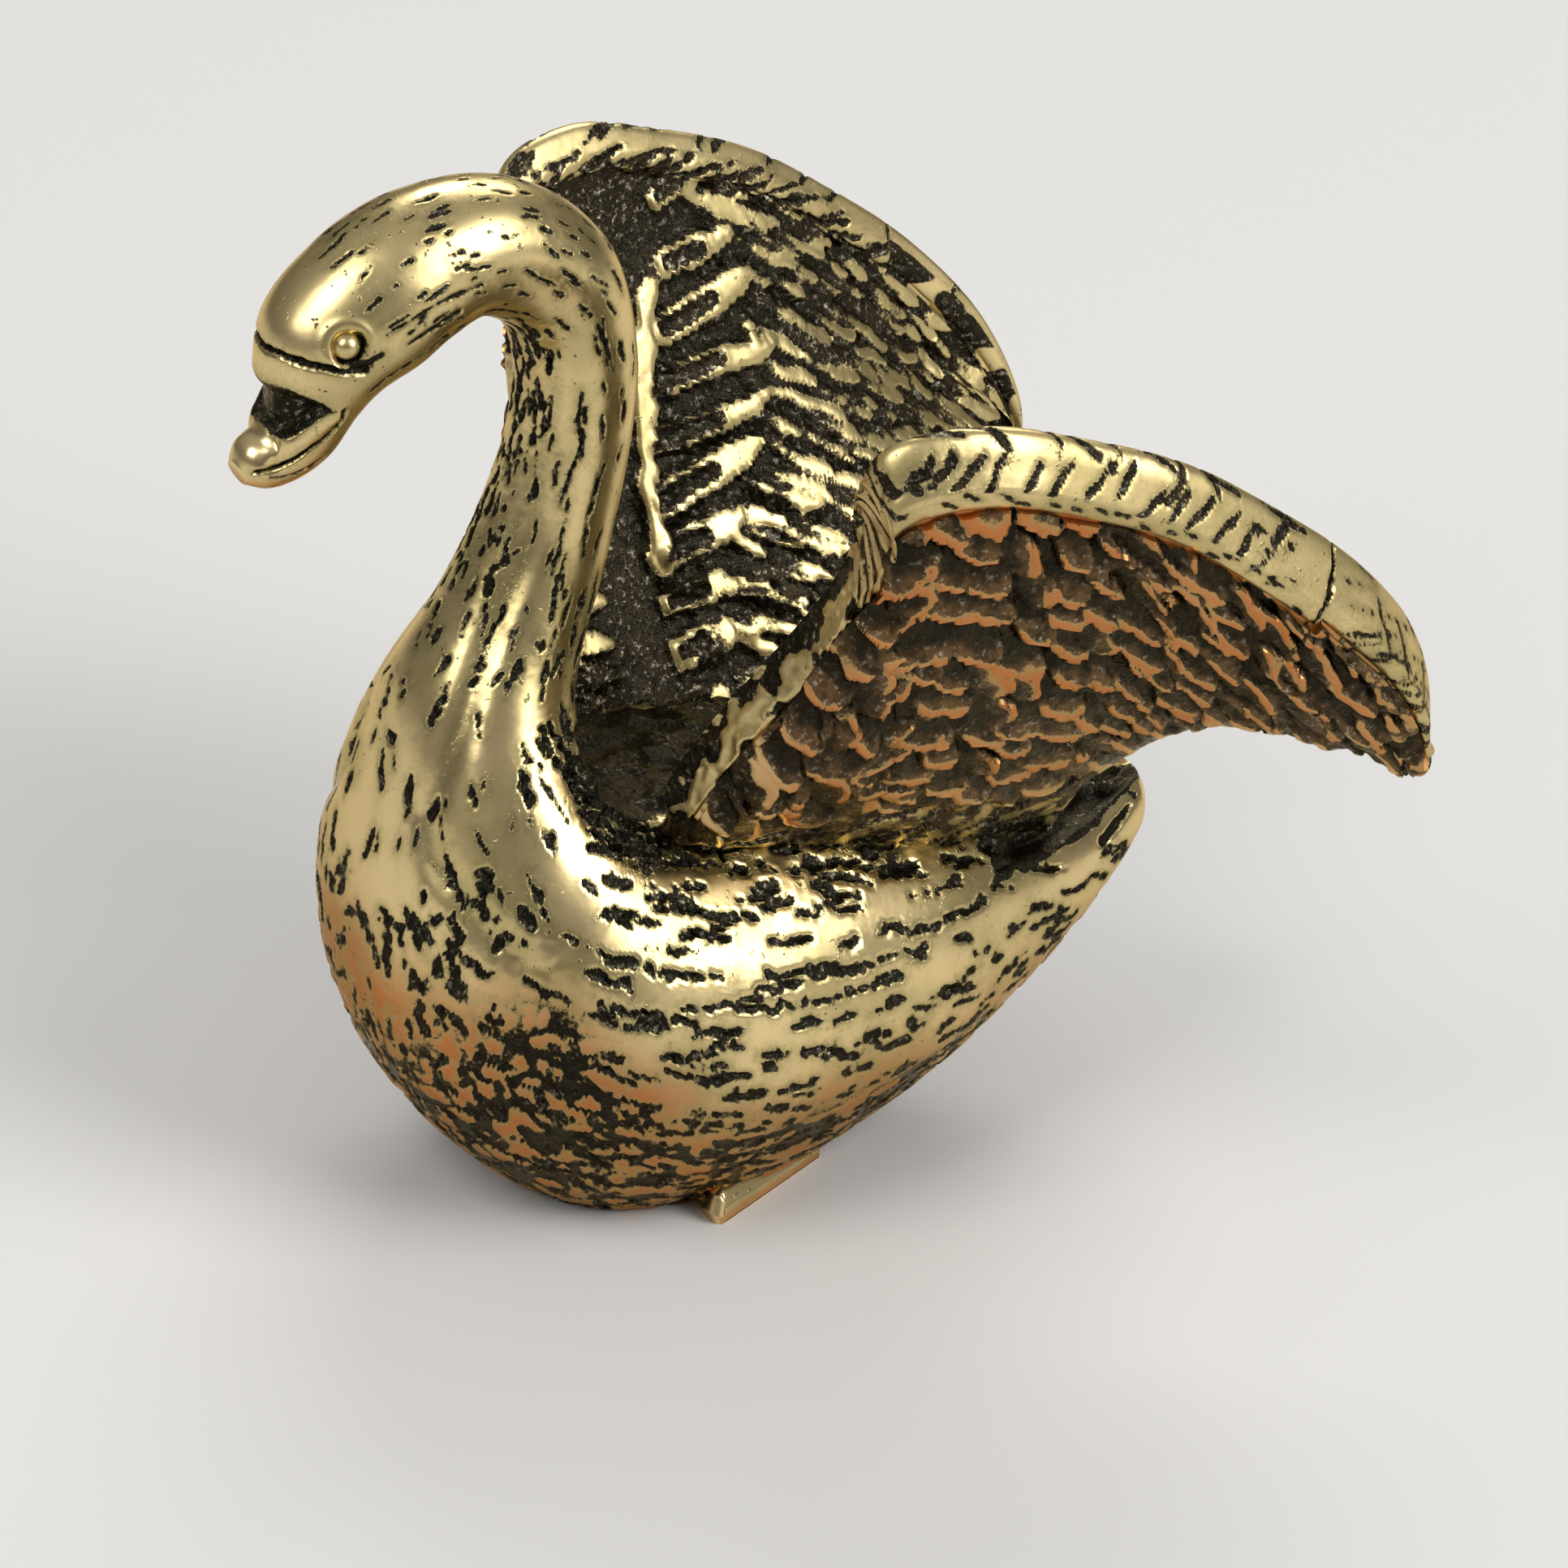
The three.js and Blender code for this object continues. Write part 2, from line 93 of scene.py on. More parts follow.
def addCamera():
    data = bpy.data.cameras.new("camera")
    data.lens = studio["lens"]
    data.sensor_width = 36
    data.clip_start, data.clip_end = studio["clip"]
    camera = bpy.data.objects.new("camera", data)
    bpy.context.collection.objects.link(camera)
    place, aim = Vector(studio["cameraAt"]), Vector(studio["aim"])
    back = (place - aim).normalized()
    right = Vector((0, 0, 1)).cross(back).normalized()
    up = back.cross(right)
    lean = math.radians(studio["lean"])
    tilted = right * math.cos(lean) + up * math.sin(lean)
    turn = Matrix((tilted, back.cross(tilted), back)).transposed().to_4x4()
    camera.matrix_world = Matrix.Translation(place) @ turn
    bpy.context.scene.camera = camera


def addLights():
    for name, place, (width, height), watts in studio["boxes"]:
        data = bpy.data.lights.new(name, "AREA")
        data.shape = "RECTANGLE"
        data.size, data.size_y = width, height
        data.energy = watts
        box = bpy.data.objects.new(name, data)
        bpy.context.collection.objects.link(box)
        box.location = place
        box.rotation_euler = (Vector(studio["lit"]) - Vector(place)).to_track_quat("-Z", "Y").to_euler()
    world = bpy.data.worlds.new("studioWorld")
    bpy.context.scene.world = world
    world.use_nodes = True
    nodes, links = world.node_tree.nodes, world.node_tree.links
    background = nodes["Background"]
    background.inputs["Strength"].default_value = studio["worldLevel"]
    ramp = nodes.new("ShaderNodeValToRGB")
    for element, (share, colour) in zip(ramp.color_ramp.elements, studio["horizon"]):
        element.position, element.color = share, colour
    place = nodes.new("ShaderNodeTexCoord")
    split = nodes.new("ShaderNodeSeparateXYZ")
    height = nodes.new("ShaderNodeMapRange")
    height.inputs["From Min"].default_value = -1
    links.new(place.outputs["Generated"], split.inputs[0])
    links.new(split.outputs["Z"], height.inputs["Value"])
    links.new(height.outputs[0], ramp.inputs[0])
    links.new(ramp.outputs[0], background.inputs["Color"])


def addFloor():
    bpy.ops.mesh.primitive_plane_add(size=studio["floorSize"])
    floor = bpy.context.object
    floor.name = "floor"
    material = bpy.data.materials.new("palePaper")
    material.use_nodes = True
    shader = material.node_tree.nodes["Principled BSDF"].inputs
    shader["Roughness"].default_value = 0.7
    shader["Specular IOR Level"].default_value = 0.2
    shader["Base Color"].default_value = studio["floorColour"]
    floor.data.materials.append(material)


# One smooth line through points, at shares 0 to 1 of it, as the CAD's centripetal curves run.
def smoothLine(points, share):
    points = np.array(points, float)
    ends = np.vstack([2 * points[0] - points[1], points, 2 * points[-1] - points[-2]])
    x = np.clip(share, 0, 1) * (len(points) - 1)
    i = np.minimum(x.astype(int), len(points) - 2)
    w = (x - i)[..., None]
    p0, p1, p2, p3 = ends[i], ends[i + 1], ends[i + 2], ends[i + 3]
    d0, d1, d2 = [((a - b) ** 2).sum(-1, keepdims=True) ** 0.25 for a, b in ((p0, p1), (p1, p2), (p2, p3))]
    t1 = ((p1 - p0) / d0 - (p2 - p0) / (d0 + d1) + (p2 - p1) / d1) * d1
    t2 = ((p2 - p1) / d1 - (p3 - p1) / (d1 + d2) + (p3 - p2) / d2) * d1
    return p1 + t1 * w + (3 * (p2 - p1) - 2 * t1 - t2) * w**2 + (2 * (p1 - p2) + t1 + t2) * w**3


def ease(x, a, b):
    f = np.clip((x - a) / (b - a), 0, 1)
    return f * f * (3 - 2 * f)


def mix(a, b, f):
    return a + (b - a) * f


# A smooth bump of height 1, width mm wide either way of its middle.
def bump(away, width):
    return np.exp(-((away / width) ** 2))


# Random offsets of up to half of each span either way.
def jitter(dice, *spans):
    return (dice.random(len(spans)) - 0.5) * np.array(spans)


# Where a value stands in rising values.
def placeOf(values, value):
    return min(int(np.searchsorted(values, value)), len(values) - 1)


def newSeed(dice, count=999):
    return int(dice.integers(count))


# The second value of a line of pairs, at a first value.
def lineAt(line, at, before=None):
    line = np.array(line)
    return np.interp(at, line[:, 0], line[:, 1], before)


# Soft random lumps of a size in mm, from -1 to 1, the same at the same place.
def grain(points, size, seed):
    q = points / size
    cell = np.floor(q).astype(np.int64)
    f = q - cell
    f = f * f * (3 - 2 * f)
    total = np.zeros(points.shape[:-1])
    for corner in itertools.product((0, 1), repeat=3):
        c = cell + np.array(corner)
        h = (c[..., 0] * 73856093) ^ (c[..., 1] * 19349663) ^ (c[..., 2] * 83492791)
        h = h ^ (seed * 15485863 + 977)
        h = (h ^ (h >> 13)) * 1274126177
        h = (h ^ (h >> 16)) & 0xFFFF
        weight = np.where(np.array(corner) == 1, f, 1 - f).prod(-1)
        total += weight * (h / 32767.5 - 1)
    return total


toneLayers = ("grime", "painted_warm_reflection", "painted_glint")


# A surface as a grid: its rows' and columns' values, its points in mm, and how many mm a row
# or column value is long at each point. lift and the tone layers start at 0: grime is 0.5 at the
# edge of a dark place, the second tone layer is copper colour painted as a warm reflection from
# below, the third is painted glints on grime, and polish favours a place when the tops are polished.
def makeSheet(rows, columns, points, wraps):
    padded, values = points, columns
    if wraps:
        turn = 2 * math.pi
        padded = np.concatenate([points[:, -1:], points, points[:, :1]], 1)
        values = np.concatenate([[columns[-1] - turn], columns, [columns[0] + turn]])
    alongRows = np.gradient(points, rows, axis=0)
    alongColumns = np.gradient(padded, values, axis=1)
    if wraps:
        alongColumns = alongColumns[:, 1:-1]
    normal = np.cross(alongRows, alongColumns)
    normal /= np.linalg.norm(normal, axis=-1, keepdims=True) + 1e-12
    across = alongColumns / (np.linalg.norm(alongColumns, axis=-1, keepdims=True) + 1e-9)
    lengthwise = alongRows - across * (alongRows * across).sum(-1, keepdims=True)
    square = np.linalg.norm(lengthwise, axis=-1) / (np.linalg.norm(alongRows, axis=-1) + 1e-9)
    return {
        "rows": rows, "columns": columns, "points": points, "normal": normal, "wraps": wraps,
        "across": across, "square": np.clip(square, 0.4, 1),
        "lengthwise": lengthwise / (np.linalg.norm(lengthwise, axis=-1, keepdims=True) + 1e-9),
        "rowScale": np.linalg.norm(alongRows, axis=-1) + 1e-6,
        "columnScale": np.linalg.norm(alongColumns, axis=-1) + 1e-6,
        **{layer: np.zeros(points.shape[:2]) for layer in ("lift", "polish", *toneLayers)},
    }


# Values over a sheet, softened over about reach mm.
def soften(sheet, values, reach):
    for axis, key, scale in ((0, "rows", "rowScale"), (1, "columns", "columnScale")):
        steps = np.gradient(sheet[key])
        cell = np.median(sheet[scale] * (steps[None, :] if axis else steps[:, None]))
        for _ in range(int(2 * (reach / cell) ** 2) + 1):
            wide = np.pad(values, [(0, 0), (1, 1)] if axis else [(1, 1), (0, 0)], mode="edge")
            before, after = (wide[:, :-2], wide[:, 2:]) if axis else (wide[:-2], wide[2:])
            values = (before + 2 * values + after) / 4
    return values


# Rubs the high places flat and bright, and leaves the rest dark: level is how many mm over
# their surroundings they start, counting in the polish layer, and soft how slowly they clear.
def polishTops(sheet, level, reach, soft):
    high = sheet["lift"] - soften(sheet, sheet["lift"], reach)
    above = high + sheet["polish"] - level
    sheet["lift"] -= 0.75 * np.maximum(above, 0)
    sheet["grime"] = np.clip(0.5 - above / soft, 0, 1)
    # painted glints follow the high places and leave the crevices black
    sheet["painted_glint"] = ease(high, -0.14, 0.1)


# Raises a layer of a sheet to at least the values.
def atLeast(sheet, layer, values, cells=...):
    sheet[layer][cells] = np.maximum(sheet[layer][cells], values)


# The part of a sheet within reach mm of a place, and the offsets there in mm: a runs with the
# rows' values, square to b, which runs with the columns'.
def patch(sheet, row, column, reach):
    rows, columns = sheet["rows"], sheet["columns"]
    i, j = placeOf(rows, row), placeOf(columns, column)
    wide = reach / sheet["square"][i, j]
    perRow, perColumn = sheet["rowScale"][i, j], sheet["columnScale"][i, j]
    i0, i1 = np.searchsorted(rows, [row - wide / perRow, row + wide / perRow])
    span = columns[-1] - columns[0]
    half = min(wide / perColumn, span / 2 - 1e-6)
    if sheet["wraps"]:
        offset = (columns - column + math.pi) % (2 * math.pi) - math.pi
    else:
        offset = columns - column
    near = np.nonzero(np.abs(offset) <= half)[0]
    if i1 <= i0 or not len(near):
        return None
    cells = np.ix_(np.arange(i0, i1), near)
    away = sheet["points"][cells] - sheet["points"][i, j]
    return cells, away @ sheet["lengthwise"][i, j], away @ sheet["across"][i, j]


edgeWidth, filmWidth = 0.2, 0.32  # mm


# Grime by the distance in mm from a cut's edge, with a thin film outside it.
def grimeAt(away):
    inside, film = np.clip(0.5 - away / edgeWidth, 0, 1), 0.5 * np.exp(-np.maximum(away, 0) / filmWidth)
    return np.where(away < 0, inside, film)


# A cut dash: a long dark pit, drawn out at one end, with ragged walls and a rough floor.
def cutDash(sheet, row, column, length, width, depth, turn, wobble, seed):
    found = patch(sheet, row, column, length / 2 + 0.5)
    if not found:
        return
    cells, a, b = found
    at = sheet["points"][cells]
    bend = grain(at, 0.45, seed + 5)
    rag = grain(at, 0.2, seed)
    along = a * math.cos(turn) + b * math.sin(turn)
    over = b * math.cos(turn) - a * math.sin(turn) + (0.25 * width + 0.6 * wobble) * bend
    t = np.clip((along if seed % 2 else -along) / length + 0.5, 0, 1)
    half = width / 2 * mix(1, 0.55, t) * np.sqrt(np.clip(1 - np.abs(2 * t - 1) ** 3, 0.02, 1))
    away = np.hypot(np.maximum(np.abs(along) - length / 2, 0), np.maximum(np.abs(over) - half, 0))
    away = away - np.maximum(half - np.abs(over), 0) * (np.abs(along) < length / 2)
    away = away + wobble * (rag + 0.4 * bend)
    sheet["lift"][cells] -= ease(-away, -0.02, 0.12) * (depth + 0.25 * depth * rag)
    sheet["lift"][cells] += 0.006 * bump(away - 0.1, 0.08)
    atLeast(sheet, "grime", grimeAt(away), cells)
    # painted glints on the pit's floor
    atLeast(sheet, "painted_glint", 0.55 * ease(-away, -0.05, 0.1), cells)


# Dashes over one zone of the trunk, scattered about a lattice on both sides.
def scatterDashes(sheet, zone, dice):
    (s0, s1), angles, (along, over), chance, lengths, widths, depth, mostTurn, wobble = zone
    a0, a1 = np.radians(angles)
    for side in (-1, 1):
        s = s0
        while s < s1:
            a = a0 + dice.random() * 0.1
            i = placeOf(sheet["rows"], s)
            while a < a1:
                j = placeOf(sheet["columns"], side * a)
                perRow, perColumn = sheet["rowScale"][i, j], sheet["columnScale"][i, j]
                keep = dice.random() < chance
                length, width = [mix(*span, dice.random() ** 1.3) for span in (lengths, widths)]
                ds, da = jitter(dice, along * 0.9 / perRow, over * 0.7 / perColumn)
                turn = math.radians(mostTurn) * (2 * dice.random() - 1)
                seed = newSeed(dice, 1000)
                if keep:
                    cutDash(sheet, s + ds, side * a + da, length, width, depth, turn, wobble, seed)
                a += over / perColumn
            s += along / np.median(sheet["rowScale"][i])


# Trunk

trunk = {
    # back x, back z, belly x, belly z and half the width at each rib, from the tail to the bill
    "ribs": [
        (18.8, 10.1, 18.7, 9.4, 0.8), (17.9, 11.2, 17.4, 8, 2.6), (15.0, 12, 14.4, 5.3, 4.3),
        (11.2, 13.1, 10.8, 2.7, 5.9), (7.0, 14.7, 6.5, 0.3, 7.7), (2.0, 15.9, 1.0, -1.4, 8.9),
        (-1.6, 16.3, -4.4, -0.8, 9.3), (-3.6, 16.6, -8.8, 2.3, 8.8), (-4.5, 17, -11.6, 6.6, 7.7),
        (-4.9, 17.5, -12.5, 11.1, 6.3), (-5.0, 18.1, -11.95, 15.9, 4.9), (-5.0, 18.9, -11.0, 19.5, 3.7),
        (-4.6, 20.6, -9.4, 22.5, 2.75), (-3.7, 23.8, -8.1, 25.2, 2.35), (-2.95, 28.4, -7.2, 28.8, 2.15),
        (-3.0, 31.1, -7.15, 30.4, 2.1), (-4.3, 34.9, -7.75, 32.2, 2.2), (-8.1, 37.5, -9.35, 33, 2.35),
        (-11.9, 37.4, -10.5, 32.5, 2.55), (-14.4, 36.2, -11.45, 31.8, 2.6), (-16.5, 34.1, -12.7, 31.2, 2.35),
        (-16.9, 31.8, -13.4, 30.5, 1.85), (-16.9, 30.6, -14.4, 29.1, 1.5), (-16.9, 30, -15.6, 28.4, 1.3),
        (-17.3, 29.6, -16.7, 28.2, 1.05), (-17.7, 29.1, -17.4, 28.4, 0.5),
    ],
    "trough": 1.3,
    "keel": 0.09,
    "jointHeight": 18.2,  # mm, where the neck casting stands on the body
    "neckStart": 11.2,  # station
    "seed": 11,
    "bodyRows": (0, 11.1, 302),
    "neckRows": (9.9, 25, 440),
    "bodyColumns": 328,
    "neckColumns": 216,
}
lastRib = len(trunk["ribs"]) - 1


def trunkPoint(station, angle):
    station, angle = np.broadcast_arrays(np.asarray(station, float), np.asarray(angle, float))
    ribs = np.array(trunk["ribs"])
    t = station / lastRib
    back, belly = smoothLine(ribs[:, :2], t), smoothLine(ribs[:, 2:4], t)
    widths = np.stack([3.0 * np.arange(lastRib + 1), ribs[:, 4]], 1)
    half = smoothLine(widths, t)[..., 1]
    full = ease(half, 5, 8.5)
    cos = np.cos(angle)
    dip = trunk["trough"] * full * np.maximum(0, cos) ** 6 / np.linalg.norm(back - belly, axis=-1)
    middle = belly + (back - belly) * ((1 + cos) / 2 - dip)[..., None]
    drawnIn = np.where(cos < 0, trunk["keel"] * full * np.sin(2 * angle) ** 2, 0)
    return np.stack([middle[..., 0], half * (1 - drawnIn) * np.sin(angle), middle[..., 1]], -1)


# Rows that lie evenly spaced on the longest line along the trunk.
def evenRows(first, last, count):
    fine = np.linspace(first, last, 2000)
    lines = np.stack([trunkPoint(fine, math.radians(a)) for a in (0, 60, 90, 120, 180)])
    steps = np.linalg.norm(np.diff(lines, axis=1), axis=-1).max(0) + 1e-4
    run = np.concatenate([[0], np.cumsum(steps)])
    return np.interp(np.linspace(0, run[-1], count), run, fine)


def trunkSheet(rowSpan, columnCount):
    rows = evenRows(*rowSpan)
    columns = np.linspace(-math.pi, math.pi, columnCount, endpoint=False)
    sheet = makeSheet(rows, columns, trunkPoint(rows[:, None], columns[None, :]), True)
    sheet["normal"] *= -1  # outwards
    return sheet


# Zones of dashes: stations, degrees from the back line, spacing along and across, chance, length,
# width, depth, most turn in degrees, and how ragged the edges are, the lengths in mm
trunkZones = [
    ((12, 19.3), (3, 176), (1.25, 0.8), 0.7, (0.3, 1.1), (0.12, 0.22), 0.08, 14, 0.05),
    ((14.6, 19.4), (2, 92), (1.15, 0.8), 0.75, (0.35, 1.0), (0.13, 0.22), 0.08, 14, 0.05),
    ((19.4, 20.1), (10, 150), (2, 1.6), 0.2, (0.3, 0.7), (0.1, 0.18), 0.06, 20, 0.04),
    ((12.2, 18.5), (92, 178), (2.2, 0.8), 0.52, (0.9, 2.6), (0.14, 0.26), 0.1, 7, 0.07),
    ((10.0, 12.6), (38, 104), (1.3, 0.7), 0.62, (0.7, 2.4), (0.14, 0.3), 0.1, 8, 0.08),
    ((12.4, 16.4), (146, 180), (1.4, 0.55), 0.7, (0.6, 2.2), (0.14, 0.36), 0.1, 10, 0.12),
    ((8.8, 12.4), (70, 178), (1.5, 1.05), 0.6, (0.35, 1.1), (0.14, 0.28), 0.08, 20, 0.06),
    ((7.6, 12.2), (58, 178), (1.9, 1.3), 0.78, (0.5, 1.6), (0.22, 0.5), 0.12, 22, 0.12),
    ((7.4, 9.6), (104, 140), (2.1, 1.2), 0.5, (0.6, 1.7), (0.3, 0.6), 0.12, 60, 0.22),
    ((2.2, 9.4), (50, 66), (2.3, 0.84), 0.88, (0.9, 2.4), (0.22, 0.42), 0.14, 9, 0.15),
    ((1.8, 8.2), (66, 92), (1.9, 0.76), 0.88, (0.9, 3.0), (0.22, 0.44), 0.14, 9, 0.13),
    ((1.4, 7.6), (88, 132), (1.7, 0.72), 0.92, (0.6, 2.4), (0.24, 0.5), 0.14, 14, 0.16),
    ((1.4, 9.4), (122, 180), (1.25, 0.75), 0.92, (0.5, 1.7), (0.24, 0.55), 0.13, 45, 0.2),
    ((4.4, 9.3), (45, 57), (1.9, 0.7), 0.8, (0.6, 2.0), (0.18, 0.38), 0.12, 9, 0.14),
]

# Lines over the trunk, as station and degrees from the back line, the same on both sides
flankGroove = [(11.2, 54), (10.7, 64), (10.0, 70), (9.5, 62), (8.7, 55), (8.0, 50), (7.1, 45), (6.6, 42),
               (6.1, 43), (5.0, 47.5), (4.4, 51.5), (3.7, 54), (3.1, 57), (2.5, 58), (2.0, 54), (1.4, 47)]
breastFurrow = [(15.4, 139), (14.6, 141), (13.7, 144), (13.2, 136.5), (12.7, 133.5), (12.1, 137),
                (11.5, 136), (11.0, 136), (10.45, 141), (10.0, 147), (9.7, 142), (9.45, 130),
                (9.1, 120), (8.7, 109)]
# Rows of wavy pits above the groove: degrees above it, length, width and step in mm
flankPits = [(1.5, (1.6, 2.8), (0.34, 0.5), 2.5), (7.5, (1.0, 2.0), (0.36, 0.56), 1.9),
             (13, (1.2, 2.2), (0.4, 0.6), 1.8)]
tail = {
    "scoop": [(0.36, 0), (0.42, 20), (0.8, 37), (1.4, 46), (2.0, 54), (2.6, 58)],
    "deep": 0.55,
    "dot": (1.25, 55, 0.42, 0.3),  # station, degrees, length and width in mm
    "stroke": [(1.36, 61), (1.6, 65), (1.9, 69)],
}
head = {
    "brow": [(20.42, 0), (20.38, 12), (20.33, 35), (20.25, 52), (20.12, 69), (19.98, 84), (19.85, 92)],
    "lip": [(23.1, 46), (22.13, 61), (21.5, 81), (21.03, 95)],
    "mouth": [(24.4, 62), (23.6, 67), (23.0, 71.5), (21.9, 86), (21.4, 101), (21.08, 105), (20.85, 100)],
    "jaw": [(23.9, 88), (22.6, 108), (21.8, 122)],
    # the hollow on the bill runs between two stations at each angle from the back line
    "hollowDegrees": [0, 15, 25, 43, 60, 73, 84, 92],
    "hollowFrom": [20.92, 20.9, 20.86, 20.8, 20.79, 20.8, 20.86, 20.9],
    "hollowTo": [22.2, 22.3, 22.42, 22.27, 21.76, 21.33, 20.98, 20.9],
    "hollowDeep": 0.42,
    "nail": [(23.9, 4), (23.9, 12)],
    "nailRise": 0.24,
    "eye": (19.73, 66), "eyeRing": (0.40, 0.64),
    "tear": [(19.93, 82), (19.72, 88), (19.5, 90)],
    "throat": [[(19.25, 80), (18.4, 86), (17.6, 92)], [(19.1, 98), (18.0, 104)],
               [(20.2, 116), (19.2, 118), (18.3, 121)]],
}


# Points in mm, with those of the left side mirrored to the right.
def folded(points):
    return points * np.where(points[..., 1:2] < 0, [1, -1, 1], [1, 1, 1])


# How far each point of a sheet lies from a line over the trunk, in mm, and how far along it that is.
def awayFrom(sheet, line, steps=48):
    line = np.array(line, float)
    share = np.linspace(0, len(line) - 1, steps)
    station, angle = [np.interp(share, np.arange(len(line)), line[:, k]) for k in (0, 1)]
    points = folded(sheet["points"])
    away = np.full(points.shape[:2], np.inf)
    along = np.zeros(points.shape[:2])
    for k, place in enumerate(trunkPoint(station, np.radians(angle))):
        gap = np.linalg.norm(points - place, axis=-1)
        along = np.where(gap < away, k / (steps - 1), along)
        away = np.minimum(away, gap)
    return away, along


def darken(sheet, away):
    atLeast(sheet, "grime", grimeAt(away))


def wipe(sheet, mask):
    for layer in ("lift", "grime"):
        sheet[layer] = sheet[layer] * (1 - mask)


# A cut line that follows a line over the trunk; width may change along it.
def cutLine(sheet, line, width, depth, wobble=0.04):
    away, along = awayFrom(sheet, line)
    wide = mix(width[0], width[1], along) / 2
    away = away - wide + wobble * grain(sheet["points"], 0.25, 12)
    sheet["lift"] -= depth * ease(-away, -0.07, 0.1)
    darken(sheet, away)


def carveTrunk(sheet):
    dice = np.random.default_rng(trunk["seed"])
    station = sheet["rows"][:, None] + 0 * sheet["columns"][None, :]
    degrees = np.degrees(np.abs(sheet["columns"]))[None, :] + 0 * station
    points, neckStart = sheet["points"], trunk["neckStart"]
    for zone in trunkZones:
        scatterDashes(sheet, zone, dice)
    # a shallow furrow from the side of the neck down over the breast, with an olive tone painted along it as
    # a dark reflection band
    away, _ = awayFrom(sheet, breastFurrow, 180)
    furrow = bump(away, 0.55)
    sheet["lift"] -= 0.2 * furrow
    atLeast(sheet, "grime", furrow * (0.42 + 0.07 * grain(points, 0.9, 8)))
    # the network that the dashes run into towards the tail and under the belly
    stretched = points * np.array([0.42, 1, 1])
    ridge = np.abs(grain(stretched, 0.62, 21)) + 0.35 * np.abs(grain(points, 0.4, 22))
    network = ease(9.4 - station, 0, 2.2) * ease(degrees + 3 * station, 108, 132)
    valley = network * ease(0.38 - ridge, -0.12, 0.14)
    sheet["lift"] -= 0.1 * valley
    atLeast(sheet, "grime", 0.86 * valley)
    # pits over the groove on the flank, and above them the hollow between the wings, dark and rough
    groove = sorted(flankGroove)
    edge = lineAt(groove, station)
    strokes = grain(stretched, 0.62, 6)
    over = edge + 4 * strokes - degrees
    upTo = neckStart + 0.5 * strokes + 0.35 * grain(points, 1.6, 9)
    zone = ease(over, -2, 3) * ease(station, 1.5, 2.1) * ease(upTo - station, 0, 0.5)
    rough = 0.15 * grain(points, 1.1, 3) + 0.09 * grain(points, 0.5, 4) + 0.05 * grain(points, 0.24, 5)
    sheet["lift"] += zone * (0.5 * rough - 0.06)
    for above, lengths, widths, step in flankPits:
        pitAt = 1.9
        while pitAt < 10.6:
            length, width = mix(*lengths, dice.random()), mix(*widths, dice.random())
            for side in (-1, 1):
                lower, turn = jitter(dice, 2.5, 0.25)
                angle = side * math.radians(lineAt(groove, pitAt) - above + lower)
                cutDash(sheet, pitAt, angle, length, width, 0.2, turn, 0.2, newSeed(dice))
            perRow = np.median(sheet["rowScale"][placeOf(sheet["rows"], pitAt)])
            pitAt += step * mix(0.8, 1.2, dice.random()) / perRow
    ledge = zone * ease(over, 1, 6) * (0.47 + 0.3 * grain(points * np.array([0.6, 1, 1]), 0.5, 7))
    hollow = zone * ease(over, 13, 19)
    bumps = rough + 0.14 * strokes
    sheet["lift"] += hollow * bumps
    atLeast(sheet, "grime", np.maximum(ledge, hollow))
    # painted glints on the bumps of the hollow
    sheet["painted_glint"] = mix(sheet["painted_glint"], 0.8 * ease(bumps, -0.06, 0.18), hollow)
    if station.min() < 3:
        carveTail(sheet, station, degrees)
    if station.max() > 21:
        carveHead(sheet, station, degrees)
    # slow unevenness of a surface polished by hand
    slow = 0.045 * grain(points, 3.1, 31) + 0.02 * grain(points, 1.4, 32)
    sheet["lift"] += slow * mix(1, 0.25, ease(station, 18.5, 21))
    # painted warm reflection: what faces the ground, the lower body and the crook of the neck get copper
    # colour standing in for warm light reflected from below
    downwards = ease(-sheet["normal"][..., 2] + 0.15 * grain(points, 2.4, 33), -0.02, 0.62)
    sheet["painted_warm_reflection"] = downwards * (0.85 * ease(neckStart - station, 0, 3) + 0.6 * ease(station, 21, 22))
    reach = mix(8.0, 13.5, ease(-points[..., 0], 2, 9)) + 1.3 * grain(points, 2.2, 34)
    low = ease(reach - points[..., 2], 0, 5) * ease(-sheet["normal"][..., 2], -0.5, 0.2)
    atLeast(sheet, "painted_warm_reflection", 0.95 * low * ease(neckStart - station, 0, 2.4))
    crook = ease(degrees, 125, 165) * ease(station, 14.3, 15.4) * ease(18.6 - station, 0, 0.8)
    atLeast(sheet, "painted_warm_reflection", 0.3 * crook)


def carveTail(sheet, station, degrees):
    points = sheet["points"]
    edge = lineAt(tail["scoop"], station, -20)
    inside = np.minimum((edge - degrees) / 12, (3.2 - station) * 1.5)
    along = ease(inside, -0.1, 0.55)
    rim = ease(edge + 26 - degrees, 0, 6) * ease(2.7 - station, 0, 0.4)
    wipe(sheet, np.maximum(rim, along))
    ribs = np.cos((points[..., 1] - 0.25 * points[..., 0]) * 2 * np.pi + 1.6 * grain(points, 1.3, 71))
    sheet["lift"] += along * (0.16 * ribs + 0.12 * grain(points, 0.5, 72) - tail["deep"])
    darken(sheet, -inside * 0.9 - 0.3 + 0.16 * grain(points, 0.5, 73))
    # painted glints along the scoop's ribs
    sheet["painted_glint"] = mix(sheet["painted_glint"], ease(ribs, 0.0, 0.9), along)
    dotStation, dotDegrees, length, width = tail["dot"]
    for side in (-1, 1):
        cutDash(sheet, dotStation, side * math.radians(dotDegrees), length, width, 0.16, 0.6, 0.02, 3)
    cutLine(sheet, tail["stroke"], (0.2, 0.42), 0.16)


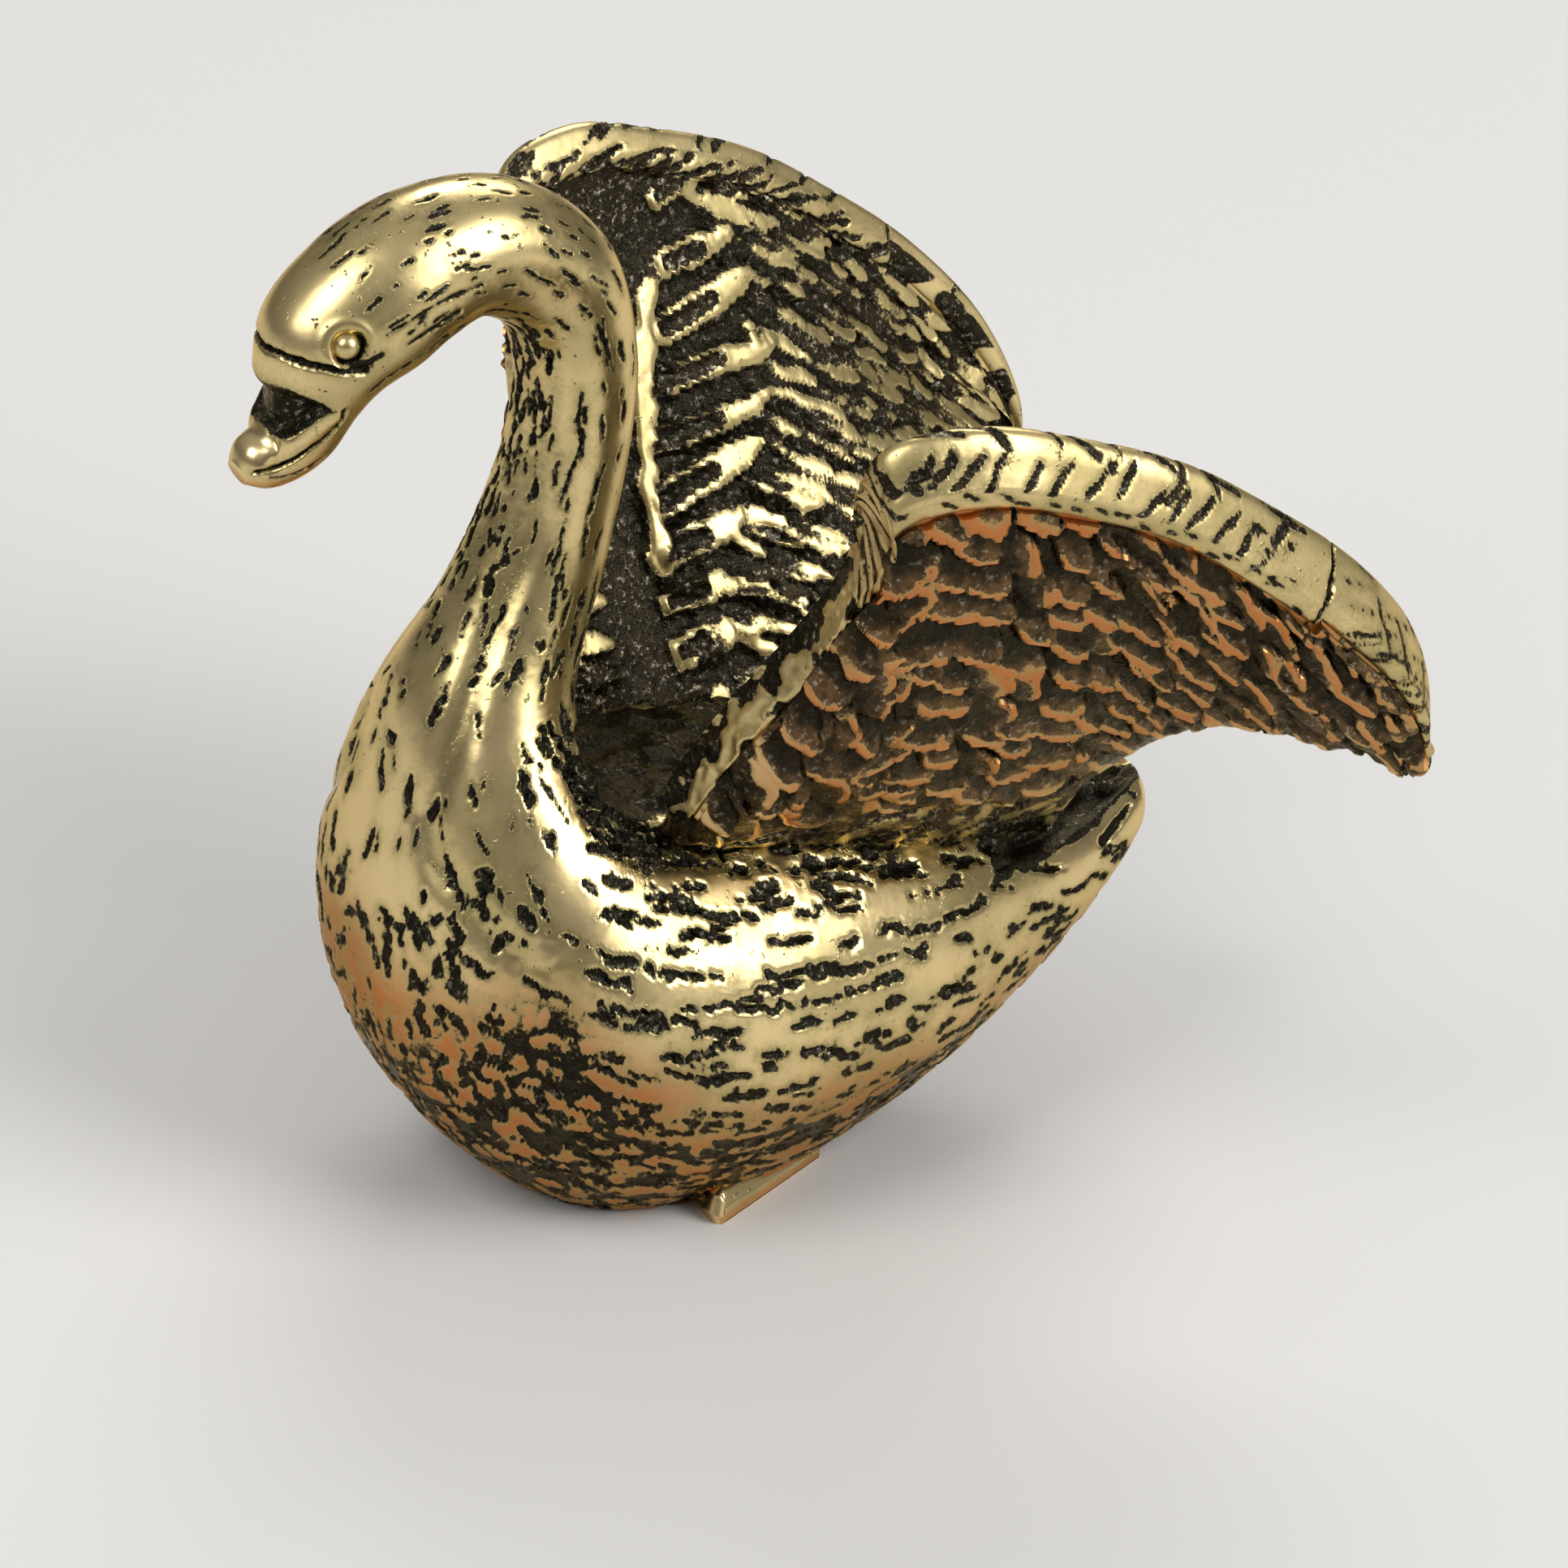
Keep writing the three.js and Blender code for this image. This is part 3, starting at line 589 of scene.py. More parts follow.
def carveHead(sheet, station, degrees):
    points = sheet["points"]
    wipe(sheet, ease(station, 20.0, 20.25))
    start, stop = [np.interp(degrees, head["hollowDegrees"], head[k]) for k in ("hollowFrom", "hollowTo")]
    inside = np.minimum(station - start, stop - station) * np.clip(sheet["rowScale"], 0.5, 1.6)
    inside = np.where(degrees < 92, inside, -1) + 0.03 * grain(points, 0.3, 81)
    sheet["lift"] -= ease(inside, -0.06, 0.42) * head["hollowDeep"]
    sheet["lift"] += ease(inside, 0.1, 0.4) * 0.07 * grain(points, 0.4, 82)
    darken(sheet, -inside)
    # painted glints in the bill's hollow
    atLeast(sheet, "painted_glint", ease(inside, 0, 0.2))
    away, _ = awayFrom(sheet, head["lip"])
    sheet["lift"] += 0.1 * bump(away, 0.26)
    away, _ = awayFrom(sheet, head["nail"], 4)
    sheet["lift"] += head["nailRise"] * bump(away, 0.62)
    sheet["lift"] -= 0.12 * bump(away - 0.95, 0.22) * ease(24.2 - station, 0, 0.5)
    cutLine(sheet, head["brow"], (0.16, 0.34), 0.22)
    cutLine(sheet, head["mouth"], (0.1, 0.2), 0.2, 0.02)
    cutLine(sheet, head["jaw"], (0.06, 0.1), 0.08, 0.02)
    for line in head["throat"]:
        cutLine(sheet, line, (0.08, 0.14), 0.08, 0.04)
    eyeStation, eyeDegrees = head["eye"]
    ringFrom, ringTo = head["eyeRing"]
    away, _ = awayFrom(sheet, [head["eye"], (eyeStation, eyeDegrees + 0.1)], 2)
    wipe(sheet, ease(ringTo + 0.2 - away, 0, 0.1))
    cutLine(sheet, head["tear"], (0.34, 0.2), 0.05, 0.08)
    # the ring round the eye is deepest behind and below it, and is dark only there, a painted shadow of the
    # bead
    offset = folded(points) - trunkPoint(eyeStation, math.radians(eyeDegrees))
    behind = ease(offset @ np.array([0.75, 0, -0.66]) / (away + 1e-6), -0.45, 0.35)
    outer = mix(ringTo - 0.1, ringTo, behind)
    sheet["lift"] -= mix(0.12, 0.3, behind) * ease(outer - away, -0.06, 0.12)
    darken(sheet, np.maximum(ringFrom - away, away - outer + 0.5 * (1 - behind)))
    sheet["lift"] += 0.04 * bump(away - 0.8, 0.14)


# Wings

wing = {
    # leading edge x, y, z on the right side, then the root as station and degrees from the back line
    "rooted": [
        ((-4.0, 5.7, 16.5), 6.75, 32), ((-2.7, 7.3, 20.3), 6.2, 32), ((-1.0, 9.3, 24.4), 5.6, 34),
        ((-0.6, 11.2, 28.2), 4.9, 37), ((-0.8, 12.5, 31.3), 4.25, 40), ((2.2, 13.5, 32.0), 3.55, 42),
        ((6.3, 14.0, 30.9), 2.8, 42),
    ],
    # leading edge and free trailing edge
    "free": [
        ((9.8, 14.3, 29.5), (13.9, 5.5, 14.2)), ((13.2, 14.4, 27.4), (15.2, 8.0, 16.5)),
        ((16.8, 14.3, 24.8), (16.9, 9.9, 17.0)), ((19.7, 13.9, 21.8), (18.9, 11.1, 16.5)),
        ((21.3, 13.3, 18.8), (20.6, 12.1, 16.0)), ((21.6, 12.8, 16.9), (21.5, 12.6, 15.9)),
    ],
    "wrist": 4 / 12, "notch": 8.7 / 12,
    "band": 2.3, "bandThickness": 2.0,
    "web": 1.15, "edge": 0.75, "camber": 1.2, "tongue": 1.5,
    "feathersAlong": 13, "scallop": 0.75,
    # mm from the band to the field, over which the trailing edge is rounded, and the span from
    # which the camber is full
    "gap": 0.12, "rounding": 0.35, "fullSpan": 8,
    "rows": 415,
    # the band's section on the outer and inner face, as shares of its width and of half its
    # thickness, and the columns over the band and over the field
    "faces": {
        1: ([(0.34, -0.9), (0.1, -0.74), (0.0, -0.34), (0.1, 0.12), (0.28, 0.52), (0.45, 0.88),
             (0.52, 0.99), (0.62, 1.0), (0.86, 0.9), (0.97, 0.76), (1.0, 0.6)], 36, 92),
        -1: ([(0.34, -0.9), (0.5, -0.97), (0.68, -0.95), (0.78, -0.86), (0.8, -0.72)], 14, 96),
    },
}
fieldStart = 1.05  # the field's first column; it ends at 2, and the band has 0 to 1
wingRibCount = len(wing["rooted"]) + len(wing["free"]) - 1
rootShare = (len(wing["rooted"]) - 0.5) / wingRibCount


def wingLines():
    leads = [lead for lead, *_ in wing["rooted"] + wing["free"]]
    roots = [trunkPoint(station, math.radians(angle)).tolist() for _, station, angle in wing["rooted"]]
    return leads, roots + [trail for _, trail in wing["free"]]


def scallopAt(x):
    off = 2 * (x - np.floor(x)) - 1
    return np.sqrt(np.maximum(0, 1 - off * off))


# The frame of the wing at each share of its leading edge, as the CAD's rings have it.
def wingFrame(share):
    leads, trails = wingLines()
    lead, trail = smoothLine(leads, share), smoothLine(trails, share)
    span = np.linalg.norm(trail - lead, axis=-1)
    down = (trail - lead) / span[:, None]
    tangent = np.gradient(lead, share, axis=0)
    out = np.cross(tangent, down)
    out /= np.linalg.norm(out, axis=-1, keepdims=True)
    tongue = wing["tongue"] * (1 - ease(share, rootShare - 0.02, rootShare + 0.02))
    free = ease(share, rootShare, rootShare + 0.1)
    frill = free * 0.5 * wing["scallop"] * (1 - scallopAt(share * wing["feathersAlong"]))
    size = mix(0.35, 1, ease(share, 0, wing["wrist"])) * mix(1, 0.5, ease(share, wing["notch"], 1))
    size = size * mix(1, 0.85, ease(share, wing["notch"] - 0.002, wing["notch"] + 0.002))
    reach = span + tongue - frill
    pastEnd = np.maximum(np.maximum(0.03 - share, share - 0.975) / 0.03, 0)
    return {"lead": lead, "down": down, "out": out, "span": span, "reach": reach,
            "end": np.sqrt(np.clip(1 - pastEnd**2, 0.0004, 1)),
            "band": np.minimum(wing["band"] * size, 0.6 * reach),
            "rim": wing["bandThickness"] / 2 * mix(0.6, 1, size)}


# One face of a wing, 1 outer or -1 inner: its columns go over the band, then down the feathers.
def wingSheet(side, face):
    share = np.linspace(0, 1, wing["rows"])
    f = wingFrame(share)
    profile, overBand, overField = wing["faces"][face]
    bandColumns, fieldColumns = np.linspace(0, 1, overBand), np.linspace(fieldStart, 2, overField)
    columns = np.concatenate([bandColumns, fieldColumns])
    section = smoothLine([(x, y, 0) for x, y in profile], bandColumns)
    bandRun = f["band"][:, None] * section[None, :, 0]
    bandLift = f["rim"][:, None] * section[None, :, 1]
    start = bandRun[:, -1:] + wing["gap"]
    down = (fieldColumns[None, :] - fieldStart) / (2 - fieldStart)
    fieldRun = start + (f["reach"][:, None] - start) * down
    web = mix(wing["web"], wing["edge"], np.clip(fieldRun / f["span"][:, None], 0, 1)) / 2
    past = np.maximum(0, 1 - (f["reach"][:, None] - fieldRun) / wing["rounding"])
    rounding = np.sqrt(np.clip(1 - past**2, 0, 1))
    run = np.concatenate([bandRun, fieldRun], 1)
    lift = np.concatenate([bandLift, face * web * rounding], 1) * f["end"][:, None]
    shareDown = np.clip(run / f["span"][:, None], 0, 1)
    full = np.minimum(1, f["span"] / wing["fullSpan"])[:, None]
    bow = wing["camber"] * np.sin(np.pi * shareDown) * full
    points = f["lead"][:, None] + f["down"][:, None] * run[..., None]
    points = points + f["out"][:, None] * (bow + lift)[..., None]
    points[..., 1] *= side
    sheet = makeSheet(share, columns, points, False)
    if side * face < 0:
        sheet["normal"] *= -1
    hold = np.concatenate([np.minimum(1, bandColumns * 6), np.minimum(1, (2 - fieldColumns) * 6)])
    sheet.update(run=run, frame=f, hold=hold, down=np.clip(run / f["span"][:, None], 0, 1.2))
    return sheet


# The column of a place that is a share of the span down from the leading edge.
def fieldColumn(sheet, share, across):
    i = int(np.clip(round(share * (wing["rows"] - 1)), 0, wing["rows"] - 1))
    return float(np.interp(across * sheet["frame"]["span"][i], sheet["run"][i], sheet["columns"]))


# A feather laid over what is there, with its polished places. turn is in degrees from straight
# down the wing, towards the tip. arm says on which side the polish runs back from the feather's end.
def layFeather(sheet, share, across, shape, turn, seed, arm=1):
    length, width = shape["length"], shape["width"]
    found = patch(sheet, share, fieldColumn(sheet, share, across), length / 2 + 0.5)
    if not found:
        return
    cells, a, b = found
    turn = math.radians(turn)
    along = a * math.sin(turn) + b * math.cos(turn)
    over = a * math.cos(turn) - b * math.sin(turn)
    at = sheet["points"][cells]
    rag = grain(at, 0.4, seed)
    slow = grain(at, 0.9, seed + 1)
    over = over + 0.14 * slow
    t = along / length + 0.5
    half = width / 2 * np.sqrt(np.clip(1 - (np.maximum(t - 0.45, 0) / 0.55) ** 2, 0, 1))
    half = half * mix(0.75, 1, ease(t, 0, 0.5))
    edge = np.minimum(half - np.abs(over), (1 - t) * length * 0.9) + shape["rag"] * rag
    inside = ease(edge, -0.03, 0.08) * ease(t, 0.0, 0.12)
    rise = mix(np.clip(t, 0, 1), np.clip(0.5 + arm * over / width, 0, 1), shape["tilt"])
    height = shape["lap"] * mix(shape["low"], 1, rise)
    height = height - shape["crown"] * np.clip(2 * over / width, -1, 1) ** 2
    slot = ease(0.21 - np.abs(over - 0.04), -0.18, 0.12) * ease(t, 0.08, 0.2) * ease(0.68 - t, 0, 0.14)
    height = height - shape["slot"] * slot
    onArm = np.where(over * arm > 0, 1.0, 0.2) * ease(t, 0.15, 0.4)
    height = height + shape["rim"] * bump(edge - 0.19, 0.16) * onArm
    lines = np.stack([0.28 * along, over, 0 * over + 0.37 * seed], -1)
    height = height + shape["streak"] * (grain(lines, 0.3, seed) + 0.5 * grain(lines, 0.16, seed + 2))
    sheet["lift"][cells] = mix(sheet["lift"][cells], height, inside)
    sheet["polish"][cells] = mix(sheet["polish"][cells], shape["shine"] - shape["slot"] * slot, inside)


# Lengths in mm: lap is how far a feather's end stands over the next, low the share of it at the
# start, tilt how far one side rises instead of the end, crown how far the sides fall off, rim the
# ridge along its edge, slot the cut down its middle, streak and rag how uneven its face and edge
# are, and shine how much the polishing favours it.
featherSizes = ("length", "width", "lap", "low", "tilt", "crown", "rim", "slot", "streak", "rag", "shine")
feathers = {
    "covert": (3.0, 1.55, 0.62, 0.0, 0.5, 0.1, 0.26, 0.0, 0.05, 0.12, -0.02),
    "flight": (3.6, 1.05, 0.52, 0.0, 0.5, 0.1, 0.24, 0.0, 0.04, 0.08, 0.0),
    "bar": (4.3, 1.4, 0.5, 0.9, 0.0, 0.3, 0.0, 0.35, 0.03, 0.14, 0.03),
    "narrow": (3.4, 0.92, 0.5, 0.1, 0.3, 0.2, 0.0, 0.0, 0.06, 0.08, 0.06),
}
feathers = {kind: dict(zip(featherSizes, sizes)) for kind, sizes in feathers.items()}

# Lines on the inner face, as share of the span down and share: the strip beside the bars, and the quill
innerStrip = [(0.10, 0.47), (0.195, 0.457), (0.368, 0.407), (0.541, 0.363), (0.70, 0.33), (1.0, 0.27)]
quillLine = [(0.0, 0.50), (0.1, 0.514), (0.33, 0.527), (0.54, 0.475), (0.66, 0.414), (0.8, 0.36),
             (1.0, 0.30)]
leadLength = 47  # mm along the leading edge
innerLength = 40  # mm along the inner face, about half way down
# Where each kind is laid: shares along the leading edge, shares down the span, and spacing in mm
fields = {
    "covert": ((0.02, 0.60), (0.08, 1.08), (1.75, 1.75)),
    "flight": ((0.55, 0.985), (0.08, 1.05), (1.15, 1.7)),
    "narrow": ((0.36, 0.98), (0.06, 1.05), (0.82, 1.9)),
}


# Rows of feathers over part of a face, laid from the trailing edge upwards.
def layField(sheet, kind, turnAt, dice, keepAt=None):
    (s0, s1), (c0, c1), (along, over) = fields[kind]
    shape = feathers[kind]
    places = []
    count = int((s1 - s0) * leadLength / along)
    for k in range(count + 1):
        share = s0 + (s1 - s0) * k / count
        step = over / sheet["frame"]["span"][int(share * (wing["rows"] - 1))]
        across = c0 + (k % 2) * 0.5 * step
        while across < c1:
            ds, dc = jitter(dice, 0.5 * along / leadLength, 0.45 * step)
            places.append((across + dc, share + ds, newSeed(dice, 1000), dice.random()))
            across += step
    for across, share, seed, luck in sorted(places, reverse=True):
        if keepAt and not keepAt(share, across):
            continue
        grown = dict(shape, length=shape["length"] * mix(0.75, 1.2, luck),
                     width=shape["width"] * mix(0.8, 1.15, luck),
                     shine=shape["shine"] + 0.14 * ((7.3 * luck) % 1 - 0.5))
        arm = -1 if seed % 5 else 1
        layFeather(sheet, share, across, grown, turnAt(share) + 16 * (luck - 0.5), seed, arm)


def outerTurn(share):
    return 28 + 6 * float(ease(share, 0.3, 0.5)) + 14 * float(ease(share, 0.55, 0.85))


def innerTurn(share):
    return 44 + 4 * float(ease(share, 0.5, 0.68)) + 26 * float(ease(share, 0.74, 0.95))


def roughen(sheet):
    at = sheet["points"]
    sheet["lift"] += 0.05 * grain(at, 0.62, 41) + 0.035 * grain(at, 0.27, 42)


# Leaves the band free of what was laid over the field below it.
def clearBand(sheet):
    wipe(sheet, ease(1.03 - sheet["columns"], 0, 0.05)[None, :])


def carveOuter(sheet, dice):
    columns = sheet["columns"][None, :]
    at = sheet["points"]
    share = sheet["rows"][:, None]
    down = sheet["down"]
    for kind in ("covert", "flight"):
        layField(sheet, kind, outerTurn, dice)
    roughen(sheet)
    sheet["polish"] += 0.1 * ease(down, 0.8, 0.95) * ease(rootShare - share, 0, 0.05)
    polishTops(sheet, level=0.09, reach=0.8, soft=0.2)
    clearBand(sheet)
    # painted warm reflection: copper colour over the field of the outer face, for warm light reflected onto
    # it
    paintedWarmth = ease(0.97 - down, 0, 0.24) * ease(columns, 0.9, 1.0) * (0.4 + 0.6 * ease(share, 0.08, 0.2))
    sheet["painted_warm_reflection"] = paintedWarmth * mix(1, 0.8, grain(at, 2.3, 44) * 0.5 + 0.5)
    atRoot = ease(down + 0.03 * grain(at, 1.0, 45), 0.84, 0.9) * ease(rootShare - share, 0, 0.04)
    sheet["grime"] = mix(sheet["grime"], 0.54 - 0.36 * grain(at, 0.6, 46), atRoot)
    sheet["lift"] = mix(sheet["lift"], 0.25 + 0.08 * grain(at, 0.9, 47), atRoot)
    # painted glints on the rough strip low down at the root
    atLeast(sheet, "painted_glint", 0.9 * atRoot)
    for across in (0.87, 0.935, 1.0):
        for pitAt in np.arange(0.03, rootShare - 0.01, 0.048):
            ds, dc, longer, turn = jitter(dice, 0.03, 0.03, 1.0, 0.4)
            column = fieldColumn(sheet, pitAt + ds, across + dc)
            cutDash(sheet, pitAt + ds, column, 1.6 + longer, 0.44, 0.24, turn, 0.16, newSeed(dice))
    carveBand(sheet, dice)


# Slanted strokes over the band's top, ticks along its outer side and long strokes along its
# inner side, fine lines beyond the notch, and ripples and pits from the wrist down to the shoulder.
bandCuts = {
    # shares from, to and step, column, length, width, depth, turn, and jitter of share, column and length
    "rows": [(0.375, 0.655, 0.0245, 0.40, 1.6, 0.34, 0.1, -44, (0.008, 0.08, 0.35)),
             (0.38, 0.70, 0.021, 0.72, 0.65, 0.2, 0.06, 40, (0.012, 0.12, 0.25)),
             (0.30, 0.71, 0.03, 0.12, 1.9, 0.3, 0.1, 12, (0.03, 0.14, 1.2))],
    # share, column, length, width and turn of single marks
    "marks": [(0.352, 0.40, 0.75, 0.5, 30), (0.330, 0.60, 0.45, 0.2, 20), (0.318, 0.3, 0.4, 0.25, 60),
              (0.655, 0.34, 1.5, 0.2, 20), (0.668, 0.42, 1.3, 0.16, 10), (0.66, 0.5, 1.0, 0.18, -30),
              (0.68, 0.36, 1.2, 0.2, -10), (0.69, 0.5, 0.8, 0.14, 20), (0.675, 0.58, 1.1, 0.13, 15)],
    "tipLines": (0.765, 0.815, 0.865, 0.915),
}


def carveBand(sheet, dice):
    for first, last, step, column, length, width, depth, turn, spans in bandCuts["rows"]:
        for share in np.arange(first, last, step):
            ds, dc, longer, turned = jitter(dice, *spans, 16)
            cutDash(sheet, share + ds, column + dc, length + longer, width, depth,
                    math.radians(turn + turned), 0.05, newSeed(dice))
    for share, column, length, width, turn in bandCuts["marks"]:
        cutDash(sheet, share, column, length, width, 0.08, math.radians(turn), 0.1, 8)
    tipTurn = math.radians(4)
    for column in np.arange(0.18, 0.92, 0.12):
        for share in bandCuts["tipLines"]:
            ds, dc, longer = jitter(dice, 0.03, 0.06, 1.0)
            cutDash(sheet, share + ds, column + dc, 1.9 + longer, 0.11, 0.09, tipTurn, 0.04, newSeed(dice))
    cutDash(sheet, wing["notch"], 0.5, 4.2, 0.24, 0.3, math.radians(96), 0.04, 5)
    share = sheet["rows"][:, None]
    column = sheet["columns"][None, :]
    at = sheet["points"]
    onBand = ease(1.06 - column, 0, 0.05)
    atLeast(sheet, "grime", onBand * (0.24 + 0.1 * grain(at, 1.6, 55)))
    ripple = onBand * ease(share, 0.19, 0.25) * ease(0.335 - share, 0, 0.05)
    waves = np.sin(share * leadLength / 0.55 * 2 * np.pi + 1.5 * grain(at, 1.1, 51))
    waves = waves + 0.5 * grain(at, 0.6, 52)
    sheet["lift"] += ripple * 0.07 * waves
    darken(sheet, 0.5 - ripple * ease(-waves, 0.3, 1.2) * 0.75)
    pitted = onBand * ease(0.27 - share, 0, 0.05)
    lumps = grain(at, 0.75, 53) + 0.5 * grain(at, 0.33, 54)
    pits = pitted * ease(lumps + 0.75 * ease(0.34 - column, -0.1, 0.1), -0.02, 0.5)
    sheet["lift"] += 0.12 * pitted * lumps - 0.16 * pits
    atLeast(sheet, "grime", pits)
    # a little painted warm reflection on the ripples
    atLeast(sheet, "painted_warm_reflection", 0.3 * ripple)


def carveInner(sheet, dice):
    columns = sheet["columns"][None, :]
    at = sheet["points"]
    share = sheet["rows"][:, None] + 0 * sheet["run"]

    def beyondQuill(s, c):
        return s > lineAt(quillLine, c) + 0.004

    layField(sheet, "narrow", innerTurn, dice, beyondQuill)
    # short bars that climb to the quill, the upper over the lower
    for across in np.arange(0.99, 0.05, -0.1):
        right, left = lineAt(quillLine, across - 0.03), lineAt(innerStrip, across)
        scale = leadLength * (1 - 0.28 * across)
        shape = dict(feathers["bar"], length=(right - left) * scale * 1.12 + 0.9,
                     width=mix(1.2, 1.6, dice.random()))
        turn = mix(102, 84, min(1, across * 2.2)) + 12 * (dice.random() - 0.5)
        layFeather(sheet, (right + left) / 2, across, shape, turn, newSeed(dice),
                   -1 if dice.random() < 0.4 else 1)
    for across in np.arange(1.0, 0.1, -0.11):
        left = lineAt(innerStrip, across)
        shape = dict(feathers["bar"], length=min(4.0, innerLength * left), width=1.2, shine=0.1)
        turn = 76 + 10 * (dice.random() - 0.5)
        layFeather(sheet, left * 0.5, across, shape, turn, newSeed(dice))
    # the strip at the bars' outer ends, a raised line with gaps
    down = sheet["down"]
    away = np.abs(share - lineAt(innerStrip, down)) * innerLength
    away = away + 0.42 * grain(at, 1.2, 61) + 0.25 * grain(at, 0.5, 62)
    stands = ease(down, 0.2, 0.32) * ease(0.8 - down, 0, 0.1)
    sheet["lift"] = np.maximum(sheet["lift"], 0.6 * stands * ease(0.55 - away, -0.1, 0.25))
    roughen(sheet)
    polishTops(sheet, level=0.1, reach=0.75, soft=0.34)
    # painted shade: a floor of grime and olive film darkens the whole inner face, turned away from the light
    atLeast(sheet, "grime", 0.34)
    # more painted glints over the inner face
    sheet["painted_glint"] = np.clip(sheet["painted_glint"] + 0.3, 0, 1)
    clearBand(sheet)
    beyond = ease(share, wing["notch"] - 0.01, wing["notch"] + 0.01) * (columns < 1.06)
    streaks = np.abs(grain(at * np.array([0.35, 1, 0.5]), 0.5, 64))
    atLeast(sheet, "grime", beyond * ease(0.42 - streaks, -0.1, 0.1))
    for row in np.arange(0.30, 0.71, 0.034):
        for column in (0.18, 0.4, 0.62, 0.84):
            ds, dc, longer, turn = jitter(dice, 0.03, 0.2, 1.4, 0.3)
            cutDash(sheet, row + ds, column + dc, 1.9 + longer, 0.26, 0.1, turn, 0.1, newSeed(dice))
    cutDash(sheet, 0.325, 0.5, 1.4, 0.5, 0.12, 0.1, 0.06, 7)
    # deep between the wings everything is blackened
    deep = ease(down, 0.72, 1.0)
    atLeast(sheet, "grime", 0.9 * deep * ease(grain(at, 1.2, 63), -0.5, 0.2))


def makeWing(side, seed):
    dice = np.random.default_rng(seed)
    outer, inner = wingSheet(side, 1), wingSheet(side, -1)
    carveOuter(outer, dice)
    carveInner(inner, dice)
    joined = {}
    for sheet in (outer, inner):
        sheet["lift"] *= sheet["hold"][None, :] * np.minimum(1, sheet["frame"]["end"][:, None] ** 2)
    for key in ("points", "normal", "lift", *toneLayers):
        joined[key] = np.concatenate([outer[key], inner[key][:, 1:-1][:, ::-1]], 1)
    return joined


# From sheet to mesh, as a closed ring of quads with a face at either end

def meshOfSheet(name, sheet):
    points = sheet["points"] + sheet["normal"] * sheet["lift"][..., None]
    rowCount, columnCount = points.shape[:2]
    index = np.arange(rowCount * columnCount).reshape(rowCount, columnCount)
    right = np.roll(index, -1, 1)
    quads = np.stack([index[:-1], index[1:], right[1:], right[:-1]], -1)
    faces = quads.reshape(-1, 4).tolist() + [index[0].tolist(), index[-1][::-1].tolist()]
    mesh = bpy.data.meshes.new(name)
    mesh.from_pydata((points.reshape(-1, 3) * mm).tolist(), [], faces)
    for layer in toneLayers:
        addLayer(mesh, layer, sheet[layer])
    mesh.update()
    piece = bpy.data.objects.new(name, mesh)
    bpy.context.collection.objects.link(piece)
    faceOutwards(piece)
    return piece


def halve(piece, height, keepAbove):
    openPiece(piece)
    bpy.ops.mesh.bisect(plane_co=(0, 0, height * mm), plane_no=(0, 0, 1), use_fill=True,
                        clear_inner=keepAbove, clear_outer=not keepAbove, threshold=1e-7)
    bpy.ops.object.mode_set(mode="OBJECT")


def dress(piece, material, node):
    select(piece)
    bpy.ops.object.shade_smooth_by_angle(angle=math.radians(50))
    piece.data.materials.clear()
    piece.data.materials.append(material)
    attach(piece, "root")
    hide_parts(node)


# Brass

brass = {
    "polished": (0.77, 0.60, 0.30, 1),
    "olive": (0.38, 0.315, 0.13, 1),
    "warmReflectionColour": (0.50, 0.165, 0.045, 1),
    "grimeColour": (0.009, 0.009, 0.006, 1),
    "warmLitGrime": (0.125, 0.070, 0.030, 1),
    "paintedGlintColour": (0.34, 0.30, 0.22, 1),
}


# A node with these inputs, each a number or another node's output, and these settings.
def addNode(tree, kind, inputs, output=0, **settings):
    made = tree.nodes.new("ShaderNode" + kind)
    for name, value in settings.items():
        setattr(made, name, value)
    for name, value in inputs.items():
        if isinstance(value, (int, float)):
            made.inputs[name].default_value = value
        else:
            tree.links.new(value, made.inputs[name])
    return made.outputs[output]
